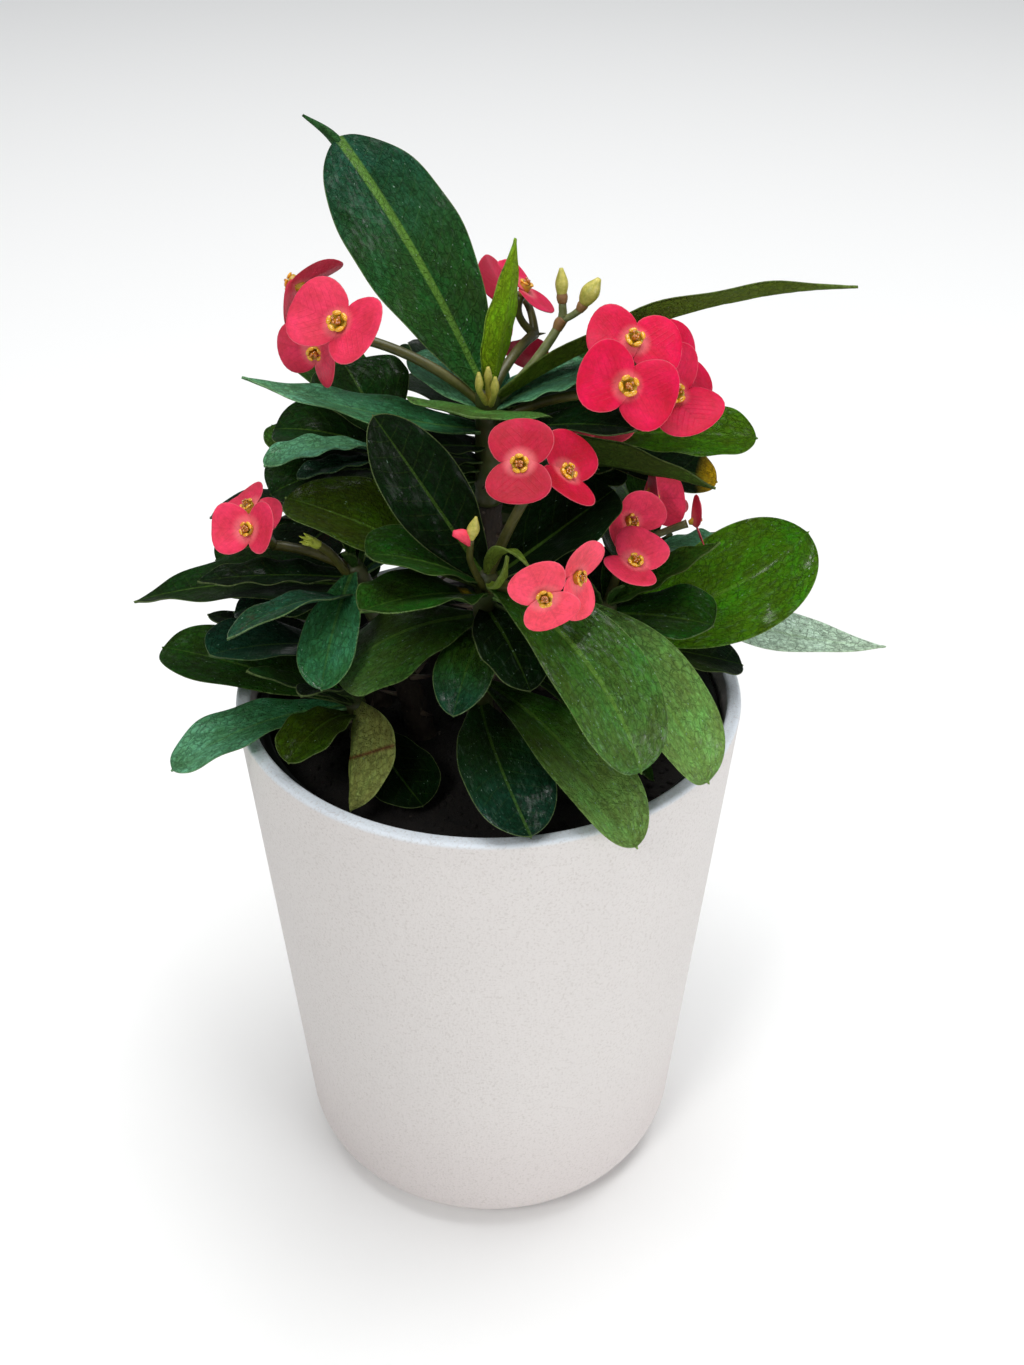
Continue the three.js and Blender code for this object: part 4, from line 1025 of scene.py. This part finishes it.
BRACT_STRIDE = 40.0  # sets each bract's place apart, as a leaf's is


def bloom_from(row):
    x, y, z, azimuth, rise, spin, size, cupped, skew = row
    facing = heading(azimuth, rise)
    level = unit(np.array([-facing[1], facing[0], 0]))
    bloom = {"at": np.array([x, y, z], float), "facing": facing, "level": level}
    bloom.update(up=np.cross(facing, level), spin=spin, size=size, cup=cupped, skew=skew)
    return bloom


def way_out(bloom, angle):
    """The way at this angle, in radians, round the way a bloom faces."""
    return math.cos(angle) * bloom["level"] + math.sin(angle) * bloom["up"]


# %% Grow one bract
PINKS = {
    "hot": paint(206, 0, 58),
    "rose": paint(208, 24, 72),
    "red": paint(176, 8, 44),
    "coral": paint(218, 48, 80),
    "salmon": paint(244, 74, 96),
}


def bract_share(s):
    """A bract's half width along its length: wide lobes at the base and a round end."""
    base, widest = 0.66, 0.5
    rising = base + (1 - base) * np.sin(np.pi / 2 * np.clip(s / widest, 0, 1))
    x = np.clip((s - widest) / (1 - widest), 0, 1)
    lobe = np.sqrt(np.clip(1 - (np.clip(0.10 - s, 0, 1) / 0.19) ** 2, 0, 1))
    return np.where(s <= widest, rising * lobe, np.sqrt(1 - x**2.3))


def bract(clay, bloom, side, tone, seed):
    out = way_out(bloom, math.radians(bloom["spin"] + 180 * side))
    across = np.cross(bloom["facing"], out)
    lean = math.radians(bloom["cup"] + (bloom["skew"] if side else -bloom["skew"]))
    rows, columns = 15, 17
    u = np.linspace(0, 1, rows)
    s = (0.5 - 0.5 * np.cos(np.pi * u)) * 1.08 - 0.08
    v = np.sin(np.linspace(-1, 1, columns) * np.pi / 2)[None]
    half = (BRACT_WIDTH / 2 * bloom["size"] * np.maximum(bract_share(s), 0.04))[:, None]
    x = (BRACT_LENGTH * bloom["size"] * s)[:, None] + 0 * v
    y = v * half
    reach = np.hypot(x, y)

    # a shallow dish whose edge curls down and waves a little
    rise = x * math.sin(lean) + 0.1 * np.abs(y) + 0.5 * side
    rise = rise - 0.011 * np.clip(reach - 6, 0, 9) ** 2
    rise = rise + 0.3 * np.sin(np.arctan2(y, x + 2) * 5 + 6 * chance(seed)) * np.clip(reach / 10, 0, 1) ** 2
    middle = bloom["at"] + (x * math.cos(lean))[..., None] * out + y[..., None] * across
    middle = middle + rise[..., None] * bloom["facing"]
    up = unit(math.cos(lean) * bloom["facing"] - math.sin(lean) * out)
    thick = BRACT_THICKNESS / 2 * np.sqrt(np.clip(1 - v**8, 0, 1))
    thick = thick * np.clip((1 - u)[:, None] * 8, 0, 1)
    face, underside = middle + thick[..., None] * up, middle - thick[..., None] * up

    # two skins and the band between them
    count = rows * columns
    index = np.arange(count).reshape(rows, columns)
    loop = [*index[0], *index[1:, -1], *index[-1, -2::-1], *index[-2:0:-1, 0]]
    faces = grid_faces(rows, columns) + grid_faces(rows, columns, count, flip=True)
    faces += [(b, a, a + count, b + count) for a, b in zip(loop, loop[1:] + loop[:1])]
    edge = half * (1 - np.abs(v)) * 0.8 + 0 * x
    edge = np.minimum(edge, (BRACT_LENGTH * bloom["size"] * (1 - s))[:, None])
    place = np.stack([x + BRACT_STRIDE * seed, y, edge], -1)
    marks = np.stack([0 * x, reach, 0 * x], -1)
    marks = listed(marks, marks + (1, 0, 0))
    clay.add(listed(face, underside), faces, "bract", listed(place, place), tone, marks)


# %% Grow one cup with its glands, stamens and nectar
def ball(clay, at, radii, axes, finish, rings=7, sides=10):
    """A squashed ball. axes are its three directions and radii its size along each."""
    lift = np.linspace(-np.pi / 2, np.pi / 2, rings + 2)[1:-1]
    turn = around(sides)
    flat = np.cos(lift)
    height = np.outer(np.sin(lift), 1 + 0 * turn)
    skin = np.stack([np.outer(flat, np.cos(turn)), np.outer(flat, np.sin(turn)), height], -1)
    local = np.concatenate([listed(skin), [[0, 0, -1], [0, 0, 1]]]) * radii
    faces = grid_faces(rings, sides, closed=True)
    south, north = len(local) - 2, len(local) - 1
    top = (rings - 1) * sides
    for k in range(sides):
        faces.append((south, (k + 1) % sides, k))
        faces.append((north, top + k, top + (k + 1) % sides))
    clay.add(at + local @ np.array(axes), faces, finish)


CUP = [(-2.0, 0.9), (-1.2, 1.35), (0.0, 1.8), (1.2, 2.1), (2.2, 2.2), (2.5, 2.0), (2.1, 1.6), (1.5, 1.2)]
GLANDS, STAMENS = 5, 4


def cup(clay, bloom, seed):
    at, facing, level, up, size = (bloom[key] for key in ("at", "facing", "level", "up", "size"))
    turn = around(16)
    ring = np.outer(np.cos(turn), level) + np.outer(np.sin(turn), up)
    skin = np.array([at + facing * z * size + radius * size * ring for z, radius in CUP])
    clay.add(listed(skin), closed_faces(len(CUP), len(ring)), "cup")
    for k in range(GLANDS):
        way = way_out(bloom, 2 * np.pi * (k / GLANDS + 0.13 * chance(seed + k)))
        axes = (np.cross(facing, way), way, facing)
        seat = at + (facing * 2.75 + way * 2.0) * size
        ball(clay, seat, (1.15 * size, 0.62 * size, 0.42 * size), axes, "gland")
    for k in range(STAMENS):
        way = way_out(bloom, 2 * np.pi * (k / STAMENS + 0.2 * chance(seed + 9 + k)))
        foot = at + facing * 1.4 * size
        end = foot + (facing * (1.9 + chance(seed + k)) + way * 0.8) * size
        tube(clay, [foot, (foot + end) / 2, end], [0.22, 0.2, 0.18], "gland", 6)
        ball(clay, end, (0.42, 0.42, 0.32), (level, up, facing), "nectar_drop", 5, 8)
    ball(clay, at + facing * 2.3 * size, (0.95, 0.95, 0.7), (level, up, facing), "nectar_drop")


# %% [markdown]
# ## Stalks, buds and thorns
#
# A head's stalk bows up from the shoot to a fork, and one thin pedicel runs on to each bloom. Thorns sit
# in two spirals down each stem, one of long thorns and one of short ones between them. Drawing lots for
# their places would be easier, but the plant sets them in order. One that would stab a leaf or a bloom is
# left out.

# %% The runs of a flower head
def head_runs(head):
    shoot, down, _, rows = head
    blooms = [bloom_from(row) for row in rows]
    facing = unit(sum(bloom["facing"] for bloom in blooms))
    fork = sum(bloom["at"] for bloom in blooms) / len(blooms) - 10 * facing - (0, 0, 3)
    root = axis_below(shoot, down)
    top = unit(axis_below(shoot, 0) - axis_below(shoot, 3))
    bow = root + (fork - root) * 0.45 + top * np.linalg.norm(fork - root) * 0.18
    stalk = curve(root, bow, fork, np.linspace(0, 1, 15))
    pedicels = []
    for bloom in blooms:
        at, way = bloom["at"], bloom["facing"]
        pedicels.append(curve(fork, at - 8 * way, at - 1.6 * way, np.linspace(0, 1, 11)))
    return blooms, stalk, pedicels


def spike(clay, foot, tip, radius, finish, lean=(0, 0, 0)):
    """A round spike with its middle pushed aside by lean. Its first mark is the share of its length."""
    share = np.linspace(0, 1, 6)
    points = curve(foot, (foot + tip) / 2 + lean, tip, share)
    marks = np.repeat(np.stack([share, 0 * share, 0 * share], -1), 8, 0)
    tube(clay, points, radius * (1 - share) ** 0.8 + 0.06, finish, 8, marks=marks)


# %% Where the thorns go
THORN = {"shortest": 9, "longest": 13, "rise": 22, "spacing": 5.5}
# how far a thorn keeps from a leaf, another stem and the soil, and how far its tip may be from the middle
THORN.update(clear=2.4, from_stem=7, over_soil=3, inside=62)
SMALL_THORN = {"shortest": 4.5, "longest": 8}
GOLDEN_ANGLE = 137.5
NAMES = list(SHOOTS)
ALL_LEAVES = {name: [] for name in NAMES}
for name, rows in LEAVES.items():
    for row in rows:
        number = sum(len(made) for made in ALL_LEAVES.values())
        ALL_LEAVES[name].append(leaf_from(name, row, number))


def leaf_points(leaf):
    """Points spread over a leaf, from a little past its base to its tip."""
    t = np.arange(4, 31) / 30
    at, across, out = midrib(leaf, t)
    half = np.maximum(leaf["width"] / 2 * half_share(leaf["form"], t), 0.5)[:, None]
    v = np.arange(-4, 5)[None] / 4
    x = v * half * (1 + leaf["lop"] * np.sign(v))
    lift = np.abs(x) * math.sin(math.radians(leaf["fold"]))
    aside = (x * math.cos(math.radians(leaf["fold"])))[..., None] * across[:, None]
    return listed(at[:, None] + aside + lift[..., None] * out[:, None])


def bloom_points(bloom):
    """Points on three rings over a bloom's bracts."""
    turn = np.linspace(0, 2 * np.pi, 30)[:, None]
    ring = np.cos(turn) * bloom["level"] + np.sin(turn) * bloom["up"]
    rings = [ring * radius + bloom["facing"] * radius * 0.25 for radius in (3, 7, 11)]
    return bloom["at"] + np.concatenate(rings) * bloom["size"]


def standing_points():
    """Points spread over every leaf, bloom and stalk, which a thorn keeps clear of."""
    points = [leaf_points(leaf) for leaves in ALL_LEAVES.values() for leaf in leaves]
    for head in HEADS:
        blooms, stalk, pedicels = head_runs(head)
        points += [stalk, *pedicels]
        points += [bloom_points(bloom) for bloom in blooms]
    return np.concatenate(points)


STANDING = standing_points()
AXES = {name: axis_at(name, np.linspace(0, 1, 21)) for name in NAMES}


def is_clear(name, low, tip):
    """Whether a thorn from low to tip keeps its distance from everything else."""
    if tip[2] < SOIL_TOP + THORN["over_soil"] or np.hypot(tip[0], tip[1]) > THORN["inside"]:
        return False
    run = low + (tip - low) * np.linspace(0, 1, 7)[:, None]
    if np.linalg.norm(STANDING[:, None] - run[None], axis=-1).min() < THORN["clear"]:
        return False
    others = np.concatenate([AXES[other] for other in NAMES if other != name])
    return np.linalg.norm(others[:, None] - run[None], axis=-1).min() > THORN["from_stem"]


def thorn_places(name, first, shortest, longest, swing):
    """Feet and tips of the thorns in one spiral down a stem, with how far below the tip each is."""
    places = []
    length, index = shoot_length(name), NAMES.index(name)
    for k in range(int((length - 6 - first) / THORN["spacing"]) + 1):
        down = first + k * THORN["spacing"]
        foot = axis_below(name, down)
        along = unit(axis_below(name, down - 1) - axis_below(name, down + 1))
        way = heading(k * GOLDEN_ANGLE + index * 40 + swing, 0)
        way = unit(way - way.dot(along) * along)
        rise = math.radians(THORN["rise"])
        way = way * math.cos(rise) + along * math.sin(rise)
        reach = float(stem_radius(name, 1 - down / length))
        tip = foot + way * (reach + shortest + (longest - shortest) * chance(index * 50 + k))
        start = foot + way * (reach - 0.8)
        if is_clear(name, foot + way * (reach + 2), tip):
            places.append((down, start, tip))
    return places


THORN_PLACES = {}
for name in NAMES:
    large = thorn_places(name, 4, THORN["shortest"], THORN["longest"], 0)
    small = thorn_places(name, 6.5, SMALL_THORN["shortest"], SMALL_THORN["longest"], 70)
    THORN_PLACES[name] = large + small
print("thorns:", sum(len(places) for places in THORN_PLACES.values()))


def thorns(clay, name, green):
    """The thorns of a shoot's green crown, or of the bark below it."""
    crown_length = SHOOTS[name][2]
    for down, start, tip in THORN_PLACES[name]:
        if (down < crown_length) == green:
            long = np.linalg.norm(tip - start)
            spike(clay, start, tip, 0.45 + long * 0.045, "thorn", (0, 0, -0.05 * long))


# %% Build the woody stems
def woody_stem(name):
    clay = Clay("bark", "thorn")
    length, index = shoot_length(name), NAMES.index(name)
    top = 1 - (SHOOTS[name][2] + GAP) / length
    share = np.linspace(0, top, int(length * top / 1.6) + 4)
    axis, radii = axis_at(name, share), stem_radius(name, share)
    scar = 1 + 0.07 * np.sin(share * length * 2 * np.pi / THORN["spacing"] + index)
    foot = axis[0] - (0, 0, ROOTING)
    axis = np.concatenate([[foot, (foot + axis[0]) / 2], axis])
    radii = np.concatenate([[radii[0]] * 2, radii * scar])
    turn, z = around(18), axis[:, 2][:, None]
    swell = 1 + 0.05 * np.sin(3 * turn + z * 0.35 + index) + 0.04 * np.sin(7 * turn - z * 0.6)
    tube(clay, axis, radii, "bark", len(turn), swell)
    thorns(clay, name, green=False)
    return clay.make("stem_" + name.lower() + "_bark", "stem_" + name.lower())


stems = [woody_stem(name) for name in NAMES]
print("stems:", len(stems))

# %% The young shoots that carry no bloom
TUFT = (0.5, -1, 266, 1.1)  # where three small buds start together
TWIGS = [
    # shoot, finish, points with the radius there
    ("M", "bud_stalk", [(2, 1, 266, 1.3), (11.6, 3, 276, 1.3), (19, 6, 286.6, 1.2), (19.5, 6, 292.6, 1.0)]),
    ("M", "stalk_joint", [(19.5, 6, 292.2, 1.2), (19.4, 6.2, 293.6, 1.5), (19.3, 6.4, 294.8, 1.3)]),
    ("M", "bud", [(19.3, 6.4, 294.4, 1.3), (19.2, 6.6, 297.5, 1.7), (19, 7, 301.2, 0.5)]),
    ("M", "stalk_joint", [(18.2, 5.7, 285, 1.3), (19, 6, 286.8, 1.6), (20, 5.8, 288, 1.3)]),
    ("M", "bud_stalk", [(19.4, 6, 287.4, 1.0), (22, 5.4, 289, 0.9), (24.4, 5, 291, 1.0)]),
    ("M", "stalk_joint", [(23.9, 5, 290.5, 1.1), (24.7, 5, 291.9, 1.5), (25.2, 5, 292.8, 1.3)]),
    ("M", "bud", [(25, 5, 292.4, 1.4), (25.8, 5, 294, 2.2), (27, 5, 296.2, 2.4), (28.8, 5, 299.2, 0.6)]),
    ("M", "bud", [TUFT, (-2, -6, 272.6, 0.8), (-2.1, -6.2, 275, 1.15), (-2.2, -6.4, 278.2, 0.4)]),
    ("M", "bud", [TUFT, (0.2, -4, 273.4, 0.8), (0.2, -4.1, 276, 1.15), (0.2, -4.2, 278.8, 0.4)]),
    ("M", "bud", [TUFT, (1.8, -6.5, 271.8, 0.8), (2, -6.8, 274.4, 1.15), (2.1, -7, 277.2, 0.4)]),
    ("A", "stalk", [(-0.5, -32, 228, 1.1), (-4, -38, 240, 0.9), (-3.8, -42, 249.2, 0.9)]),
    ("A", "bud", [(-3.8, -42, 249, 0.9), (-3.1, -42, 252, 1.6), (-2.4, -42, 255.4, 0.3)]),
    ("B", "stalk", [(-37.5, -14, 220, 1.3), (-42, -19, 231, 1.2), (-45.4, -22, 236, 1.2)]),
    ("B", "fresh_break", [(-45, -21.7, 235.5, 1.3), (-46.6, -23, 237.3, 1.4), (-47.6, -23.8, 238.2, 1.3)]),
]
# the drawn-out tip of the tallest leaf, and the pink bud that opens on the front shoot
DRIP_TIP = [(-38.5, 41.5, 320.5, 1.9), (-43, 42.5, 325.2, 1.3), (-49.6, 44, 329.3, 0.35)]
OPENING = [(-4, -41, 247, 0.9), (-5.6, -42.2, 250, 1.7), (-8.2, -42.6, 251, 0.8)]


def smooth_run(points, steps=12):
    """A smooth run through typed points, radius included."""
    points = np.array(points, float)
    share = np.linspace(0, len(points) - 1, steps)
    i = np.clip(share.astype(int), 0, len(points) - 2)
    f = (share - i)[:, None]
    pad = np.concatenate([[2 * points[0] - points[1]], points, [2 * points[-1] - points[-2]]])
    p0, p1, p2, p3 = pad[i], pad[i + 1], pad[i + 2], pad[i + 3]
    run = p1 + 0.5 * f * (p2 - p0 + f * (2 * p0 - 5 * p1 + 4 * p2 - p3 + f * (3 * (p1 - p2) + p3 - p0)))
    return run[:, :3], np.maximum(run[:, 3], 0.15)


# %% The youngest leaves
# Three narrow ones stand round most tips, and three short, wider ones fill the crown of three shoots.
YOUNG = {
    # shoot: (below the tip, azimuth, rise, length, width, roll)
    "M": [(27, 178, 10, 16, 8, 30), (24, 205, 24, 13, 7, 20), (30, 10, 10, 15, 8, -30)],
    "E": [(14, -5, 4, 17, 8, -35), (12, -30, 20, 14, 7, -20), (16, 20, 0, 15, 8, -30)],
    "I": [(11, -95, -24, 16, 8, 0), (9, -60, -16, 16, 8, -10), (12, -130, -20, 15, 8, 10)],
}


def young_leaves(clay, name):
    index = NAMES.index(name)
    rows = [(*row, "deep") for row in YOUNG.get(name, [])]
    if name not in ("M", "A"):
        for k in range(3):
            size = chance(index * 7 + k)
            rows.append((1 + k, GOLDEN_ANGLE * k + 60 * index, 52 + 20 * size, 10 + 5 * size, 4.4, 0, "mid"))
    for k, (down, azimuth, rise, length, width, roll, tone) in enumerate(rows):
        row = (down, azimuth, rise, length, width, 16, roll, "spoon", tone)
        leaf_blade(clay, leaf_from(name, row, 200 + index * 10 + k), 18)


# %% Build the leafy crowns
CROWN_FINISHES = ["leaf", "young_shoot", "stalk", "thorn", "bud", "bract"]
CROWN_FINISHES += ["bud_stalk", "stalk_joint", "fresh_break"]


def green_stem(clay, name):
    start = 1 - SHOOTS[name][2] / shoot_length(name)
    share = np.linspace(start, 1, int(SHOOTS[name][2] / 1.5) + 4)
    axis, radii = axis_at(name, share), stem_radius(name, share)
    end, way = axis[-1], unit(axis[-1] - axis[-2])
    axis = np.concatenate([axis, [end + 0.6 * way, end + 1.1 * way]])
    radii = np.concatenate([radii, [radii[-1] * 0.8, radii[-1] * 0.45]])
    radii = radii * (1 + 0.05 * np.sin(np.arange(len(radii)) * 1.7))
    tube(clay, axis, radii, "young_shoot", 16)


def head_stalks(clay, head):
    """A head's stalk with its pedicels, each swollen at its end, and two small scales at the fork."""
    _, stalk, pedicels = head_runs(head)
    share = np.linspace(0, 1, len(stalk))
    tube(clay, stalk, 1.5 - 0.2 * share + 0.25 * share**8, "stalk", 10)
    for run in pedicels:
        share = np.linspace(0, 1, len(run))
        tube(clay, run, 1.05 + 0.3 * (1 - share) ** 6 + 0.2 * share**6, "stalk", 9)
    for side in (-1, 1):
        aside = unit(np.cross(stalk[-1] - stalk[-2], (0, 0, 1))) * side
        end = stalk[-1] + aside * 2.6 + unit(stalk[-1] - stalk[-2]) * 1.8
        spike(clay, stalk[-1] + aside * 0.8, end, 0.5, "stalk")


def splinters(clay, end, way, finish):
    """The ragged teeth round the end of a snapped stalk."""
    side = unit(np.cross(way, (0, 0, 1)))
    for k, a in enumerate(around(6)):
        out = math.cos(a) * side + math.sin(a) * np.cross(way, side)
        spike(clay, end + out * 0.9 - way, end + out * 1.5 + way * (0.8 + 1.6 * chance(k + 3)), 0.6, finish)


def crown(name):
    clay = Clay(*CROWN_FINISHES)
    green_stem(clay, name)
    for leaf in ALL_LEAVES[name]:
        leaf_blade(clay, leaf)
    young_leaves(clay, name)
    for head in HEADS:
        if head[0] == name:
            head_stalks(clay, head)
    for shoot, finish, points in TWIGS:
        if shoot == name:
            run, radii = smooth_run(points)
            tube(clay, run, radii, finish, 10)
            if finish == "fresh_break":
                splinters(clay, run[-1], unit(run[-1] - run[-2]), finish)
    if name == "M":
        run, radii = smooth_run(DRIP_TIP)
        tube(clay, run, radii, "leaf", 9, tone=TONES["stem"], marks=(0, 0, 0.2))
    if name == "A":
        run, radii = smooth_run(OPENING)
        tube(clay, run, radii, "bract", 9, tone=PINKS["salmon"], marks=(0, 9, 0))
    thorns(clay, name, green=True)
    return clay.make("crown_" + name.lower() + "_leafy", "crown_" + name.lower())


triangles = 0
for name in NAMES:
    crown_piece = crown(name)
    triangles += sum(len(face.vertices) - 2 for face in crown_piece.data.polygons)
print("triangles in the leafy crowns:", triangles)

# %% Build the blooms
number = 0
for _, _, pink, rows in HEADS:
    for row in rows:
        number += 1
        bloom = bloom_from(row)
        clay = Clay("bract", "cup", "gland", "nectar_drop")
        for side in (0, 1):
            tone = np.array(PINKS[pink]) * (0.92 + 0.16 * chance(number * 3 + side))
            bract(clay, bloom, side, tone, number * 2 + side)
        cup(clay, bloom, number * 20)
        clay.make(f"bloom_{number:02d}_bracts", f"bloom_{number:02d}")
print("blooms:", number)

# %% [markdown]
# ## Soil and pots
#
# Potting soil is a bed of crumbs. The bed is a disc of points lifted by layered waves, and hundreds of
# loose crumbs lie half sunk in it, because a bump alone looks flat from the side. The pots are turned from
# their profiles, as a potter's wheel or a mould would make them, with every edge rounded. A cylinder with
# a bevel modifier comes close, but it can't round the foot and the lip by different amounts.

# %% The soil with its crumbs
GROW = {"foot": 52, "floor": 9.3, "shoulder": 67.3, "band": 69, "band_z": 161, "rim_z": 170, "wall": 1.5}
GROW.update(inside=11.3, feet=5, foot_reach=44, foot_radius=4)
SOIL_CLEAR = 0.8  # how far the soil stays clear of the grow pot's inside
CRUMBS = 900


def grow_radius(z):
    share = (z - GROW["floor"]) / (GROW["band_z"] - GROW["floor"])
    return GROW["foot"] + (GROW["shoulder"] - GROW["foot"]) * share


def soil_height(x, y):
    waves = np.sin(x * 0.21 + 1.3) * np.cos(y * 0.17) + 0.6 * np.sin(x * 0.53 - y * 0.37)
    fine = 0.5 * np.sin(x * 1.9 + y * 0.7) * np.sin(y * 2.3 - x * 0.4)
    return SOIL_TOP - 0.3 + 0.35 * (waves + fine)


def soil_bed():
    clay = Clay("soil")
    bottom = GROW["inside"] + SOIL_CLEAR
    edge = grow_radius(SOIL_TOP - 1) - GROW["wall"] - SOIL_CLEAR
    low = grow_radius(bottom) - GROW["wall"] - SOIL_CLEAR
    rings, sides = 46, 150
    turn = around(sides)
    radius = np.linspace(0.6, edge, rings)
    x, y = np.outer(radius, np.cos(turn)), np.outer(radius, np.sin(turn))
    z = soil_height(x, y) - np.clip(radius - edge + 2, 0, 2)[:, None] * 0.5
    skirt = np.stack([low * np.cos(turn), low * np.sin(turn), 0 * turn + bottom], -1)
    clay.add(listed(np.stack([x, y, z], -1), skirt), closed_faces(rings + 1, sides, flip=True), "soil")
    for k in range(CRUMBS):
        r, a = (edge - 2) * math.sqrt(chance(k)), 2 * np.pi * chance(k + 5000)
        size = 0.5 + 1.3 * chance(k + 9000) ** 3
        px, py = r * math.cos(a), r * math.sin(a)
        at = np.array([px, py, float(soil_height(px, py)) - 0.1])
        shape = size * (0.7 + 0.6 * np.array([chance(k + 1), chance(k + 2), chance(k + 3)]))
        ball(clay, at, np.minimum(shape, 1.2), np.eye(3), "soil", 3, 6)
    return clay.make("soil_bed", "soil")


print("soil:", soil_bed().name)

# %% Turn the pots
POT = {"rim": 75, "foot": 61.5, "height": 176, "wall": 4.3, "floor": 5, "foot_round": 16, "lip": 2.6}
POT.update(edge=1.2, inner_edge=1.0, floor_round=6)


def turned(clay, profile, finish, sides=144):
    """A closed body of revolution. The profile starts and ends on the axis."""
    turn = around(sides)
    inner = np.array(profile[1:-1], float)
    ring = np.stack([np.cos(turn), np.sin(turn), 0 * turn], -1)
    points = inner[:, 0][:, None, None] * ring + inner[:, 1][:, None, None] * (0, 0, 1)
    clay.add(listed(points), closed_faces(len(inner), sides), finish)


def rounded(x, z, radius, start, end, steps):
    """Points of an arc round a centre, from start to end in degrees."""
    a = np.radians(np.linspace(start, end, steps))
    return [(x + radius * math.cos(angle), z + radius * math.sin(angle)) for angle in a]


def wall(radius_at, low, high, steps, inwards=0):
    """Points up or down a pot's wall."""
    return [(radius_at(z) - inwards, z) for z in np.linspace(low, high, steps)]


def pot_radius(z):
    return POT["foot"] + (POT["rim"] - POT["foot"]) * z / POT["height"]


def cover_pot():
    clay = Clay("white_pot")
    r, top, floor = POT["foot_round"], POT["height"], POT["floor"]
    edge, inner, low = POT["edge"], POT["inner_edge"], POT["floor_round"]
    flat = pot_radius(0) - r
    reach = pot_radius(r) - flat
    profile = [(0, 0), (flat - 2, 0)]
    for a in np.radians(np.linspace(0, 90, 14)):
        profile.append((flat + reach * math.sin(a), r * (1 - math.cos(a))))
    profile += wall(pot_radius, r + 12, top - POT["lip"], 12)
    profile += rounded(pot_radius(top - 1) - edge, top - edge, edge, 0, 90, 6)
    profile += rounded(pot_radius(top) - POT["wall"] + inner, top - inner, inner, 90, 180, 6)
    profile += wall(pot_radius, top - 4, 16, 12, POT["wall"])
    profile += rounded(pot_radius(12) - POT["wall"] - low, floor + low, low, 0, -90, 6)
    profile += [(20, floor), (0, floor)]
    turned(clay, profile, "white_pot")
    return clay.make("cover_pot_shell", "cover_pot")


def grow_pot():
    clay = Clay("grow_pot_plastic")
    foot, floor, rim, inside = GROW["foot"], GROW["floor"], GROW["rim_z"], GROW["inside"]
    band, band_z = GROW["band"], GROW["band_z"]
    profile = [(0, floor), (foot - 3, floor)]
    profile += rounded(foot - 2, floor + 2, 2, -90, 0, 5)
    profile += wall(grow_radius, 30, band_z, 8)
    profile += [(band - 0.3, band_z), (band, band_z + 0.4)]
    profile += rounded(band - 0.7, rim - 0.7, 0.7, 0, 90, 5)
    profile += rounded(band - 2.2, rim - 0.7, 0.7, 90, 180, 5)
    profile += wall(grow_radius, band_z, 14, 8, GROW["wall"])
    profile += [(grow_radius(inside) - GROW["wall"], inside), (0, inside)]
    turned(clay, profile, "grow_pot_plastic")
    radius = GROW["foot_radius"]
    for a in around(GROW["feet"]):
        at = np.array([GROW["foot_reach"] * math.cos(a), GROW["foot_reach"] * math.sin(a), 0])
        points = [at + (0, 0, z) for z in (5.3, 7.5, 10)]
        tube(clay, points, [radius - 0.2, radius, radius], "grow_pot_plastic", 20)
    return clay.make("grow_pot_shell", "grow_pot")


pots = cover_pot(), grow_pot()
print("pots:", [pot.name for pot in pots])

# %% [markdown]
# ## The studio
#
# A pale floor that runs far past the plant and a soft, faintly blue sky. A large light overhead does most
# of the work and keeps shadows soft. A small one at the front left picks out the gloss of the leaves, and
# a middling one at the front right fills the dark side.

# %% Floor, sky and lights
skin = Finish("floor")
speckle = skin.grain(skin.node("NewGeometry")["Position"], scale=40.0, contrast=0.02)
skin.set((*paint(250, 250, 249), 1.0), skin.math("ADD", speckle, 0.8))
floor_mesh = bpy.data.meshes.new("floor")
FLOOR = 6.0  # metres from the middle to an edge
corners = [(x * FLOOR, y * FLOOR, 0) for x, y in ((-1, -1), (1, -1), (1, 1), (-1, 1))]
floor_mesh.from_pydata(corners, [], [(0, 1, 2, 3)])
floor_mesh.materials.append(FINISHES["floor"])
floor = bpy.data.objects.new("floor", floor_mesh)
bpy.context.scene.collection.objects.link(floor)

LIGHTS = {
    # name: place, aim, side in metres, watts, colour
    "top": ((0.15, 0.3, 2.5), (0, 0, 0), 1.9, 54, (1, 1, 1)),
    "key": ((-0.45, -0.85, 1.1), (0, 0, 0.2), 0.3, 4.5, (1, 0.99, 0.97)),
    "fill": ((1.3, -1.1, 0.45), (0, 0, 0.12), 0.8, 9, (0.98, 0.99, 1)),
}
for name, (place, aim, side, watts, color) in LIGHTS.items():
    lamp = bpy.data.lights.new(name, "AREA")
    lamp.size = side
    lamp.energy = watts
    lamp.color = color
    light = bpy.data.objects.new(name, lamp)
    bpy.context.scene.collection.objects.link(light)
    light.location = place
    light.rotation_euler = (Vector(aim) - Vector(place)).to_track_quat("-Z", "Y").to_euler()
world = bpy.data.worlds.new("sky")
world.use_nodes = True
background = world.node_tree.nodes["Background"].inputs
background["Color"].default_value = (0.93, 0.96, 1.0, 1.0)
background["Strength"].default_value = 0.3
bpy.context.scene.world = world
bpy.context.scene.view_settings.view_transform = "Standard"
